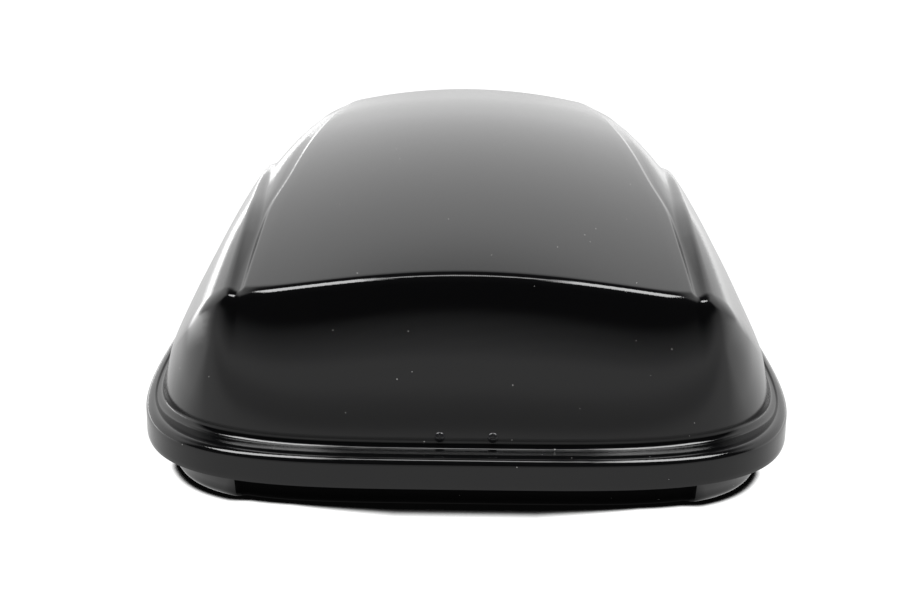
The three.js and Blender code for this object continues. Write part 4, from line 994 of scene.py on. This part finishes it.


# The floor shows white with a painted contact shadow. Reflections see it greyer, with painted glare to the
# sides, a painted darker strip ahead and painted shade under the box
def buildFloor(values):
    half = values["floorHalf"] * 1000
    floor = meshObject("floor", [(-half, -half, 0), (half, -half, 0), (half, half, 0), (-half, half, 0)],
                       [(0, 1, 2, 3)])
    material = bpy.data.materials.new("pale_floor")
    material.use_nodes = True
    tree = material.node_tree
    tree.nodes.remove(tree.nodes["Principled BSDF"])
    output = tree.nodes["Material Output"]
    place = addNode(tree, "ShaderNodeTexCoord")
    axes = addNode(tree, "ShaderNodeSeparateXYZ")
    tree.links.new(place.outputs["Object"], axes.inputs[0])
    across, along = axes.outputs[0], axes.outputs[1]
    aside = mathNode(tree, "ABSOLUTE", across)
    # painted contact shadow: occlusion near the box darkens the floor's glow for the camera
    near = addNode(tree, "ShaderNodeAmbientOcclusion", samples=16)
    reach = rangeNode(tree, aside, values["contactMid"], values["contactEnd"], *values["contactAt"])
    tree.links.new(reach, near.inputs["Distance"])
    clear = rangeNode(tree, near.outputs["AO"], values["contactDark"], values["floorBright"],
                      *values["contactRange"])
    shown = addNode(tree, "ShaderNodeEmission")
    tree.links.new(clear, shown.inputs["Strength"])
    # painted glare: the floor glows brighter to the sides and further back, seen in reflections
    extra = rangeNode(tree, aside, 0, values["sideFloor"] - values["floorFront"], *values["sideAt"])
    beyond = rangeNode(tree, along, 0, 1, *values["glareFrom"])
    for way, glare in zip((-1, 1), values["glare"]):
        outward = mathNode(tree, "MULTIPLY", across, way)
        far = mathNode(tree, "MULTIPLY", rangeNode(tree, outward, 0, glare, *values["glareAt"]), beyond)
        extra = mathNode(tree, "ADD", extra, far)
    beside = rangeNode(tree, along, 0, 1, *values["besideAt"])
    # painted shade: a darker strip across the floor in front of the box, seen in reflections
    away = mathNode(tree, "ABSOLUTE", mathNode(tree, "SUBTRACT", along, values["dimAt"]))
    dimmed = values["dimTo"] * values["floorFront"]
    ahead = rangeNode(tree, away, dimmed, values["floorFront"], 0, values["dimHalf"])
    bright = mathNode(tree, "ADD", mathNode(tree, "MULTIPLY", extra, beside), ahead)
    # painted shade: the floor under the box is dark in reflections
    halfX, fade = values["underX"], values["underFade"]
    reachY = rangeNode(tree, across, *values["underY"], *values["underAt"])
    pastY = mathNode(tree, "SUBTRACT", mathNode(tree, "ABSOLUTE", along), reachY)
    insideX = rangeNode(tree, aside, 1, 0, halfX - fade, halfX + fade)
    insideY = rangeNode(tree, pastY, 1, 0, -fade, fade)
    under = rangeNode(tree, mathNode(tree, "MULTIPLY", insideX, insideY), 1, values["underDark"], 0, 1)
    glow = addNode(tree, "ShaderNodeEmission")
    tree.links.new(mathNode(tree, "MULTIPLY", bright, under), glow.inputs["Strength"])
    path = addNode(tree, "ShaderNodeLightPath")
    choose = addNode(tree, "ShaderNodeMixShader")
    tree.links.new(path.outputs["Is Camera Ray"], choose.inputs[0])
    tree.links.new(glow.outputs[0], choose.inputs[1])
    tree.links.new(shown.outputs[0], choose.inputs[2])
    tree.links.new(choose.outputs[0], output.inputs["Surface"])
    dress(floor, material)


def buildSoftbox(values):
    data = bpy.data.lights.new("softbox", "AREA")
    data.shape = "RECTANGLE"
    data.size, data.size_y = values["size"]
    data.energy = values["radiance"] * math.pi * data.size * data.size_y
    box = bpy.data.objects.new("softbox", data)
    box.location = values["place"]
    scene.collection.objects.link(box)


buildWorld(studio)
buildFloor(studio)
for values in softboxes:
    buildSoftbox(values)
scene.view_settings.view_transform = "Standard"
scene.view_settings.look = "None"
print("studio ready")
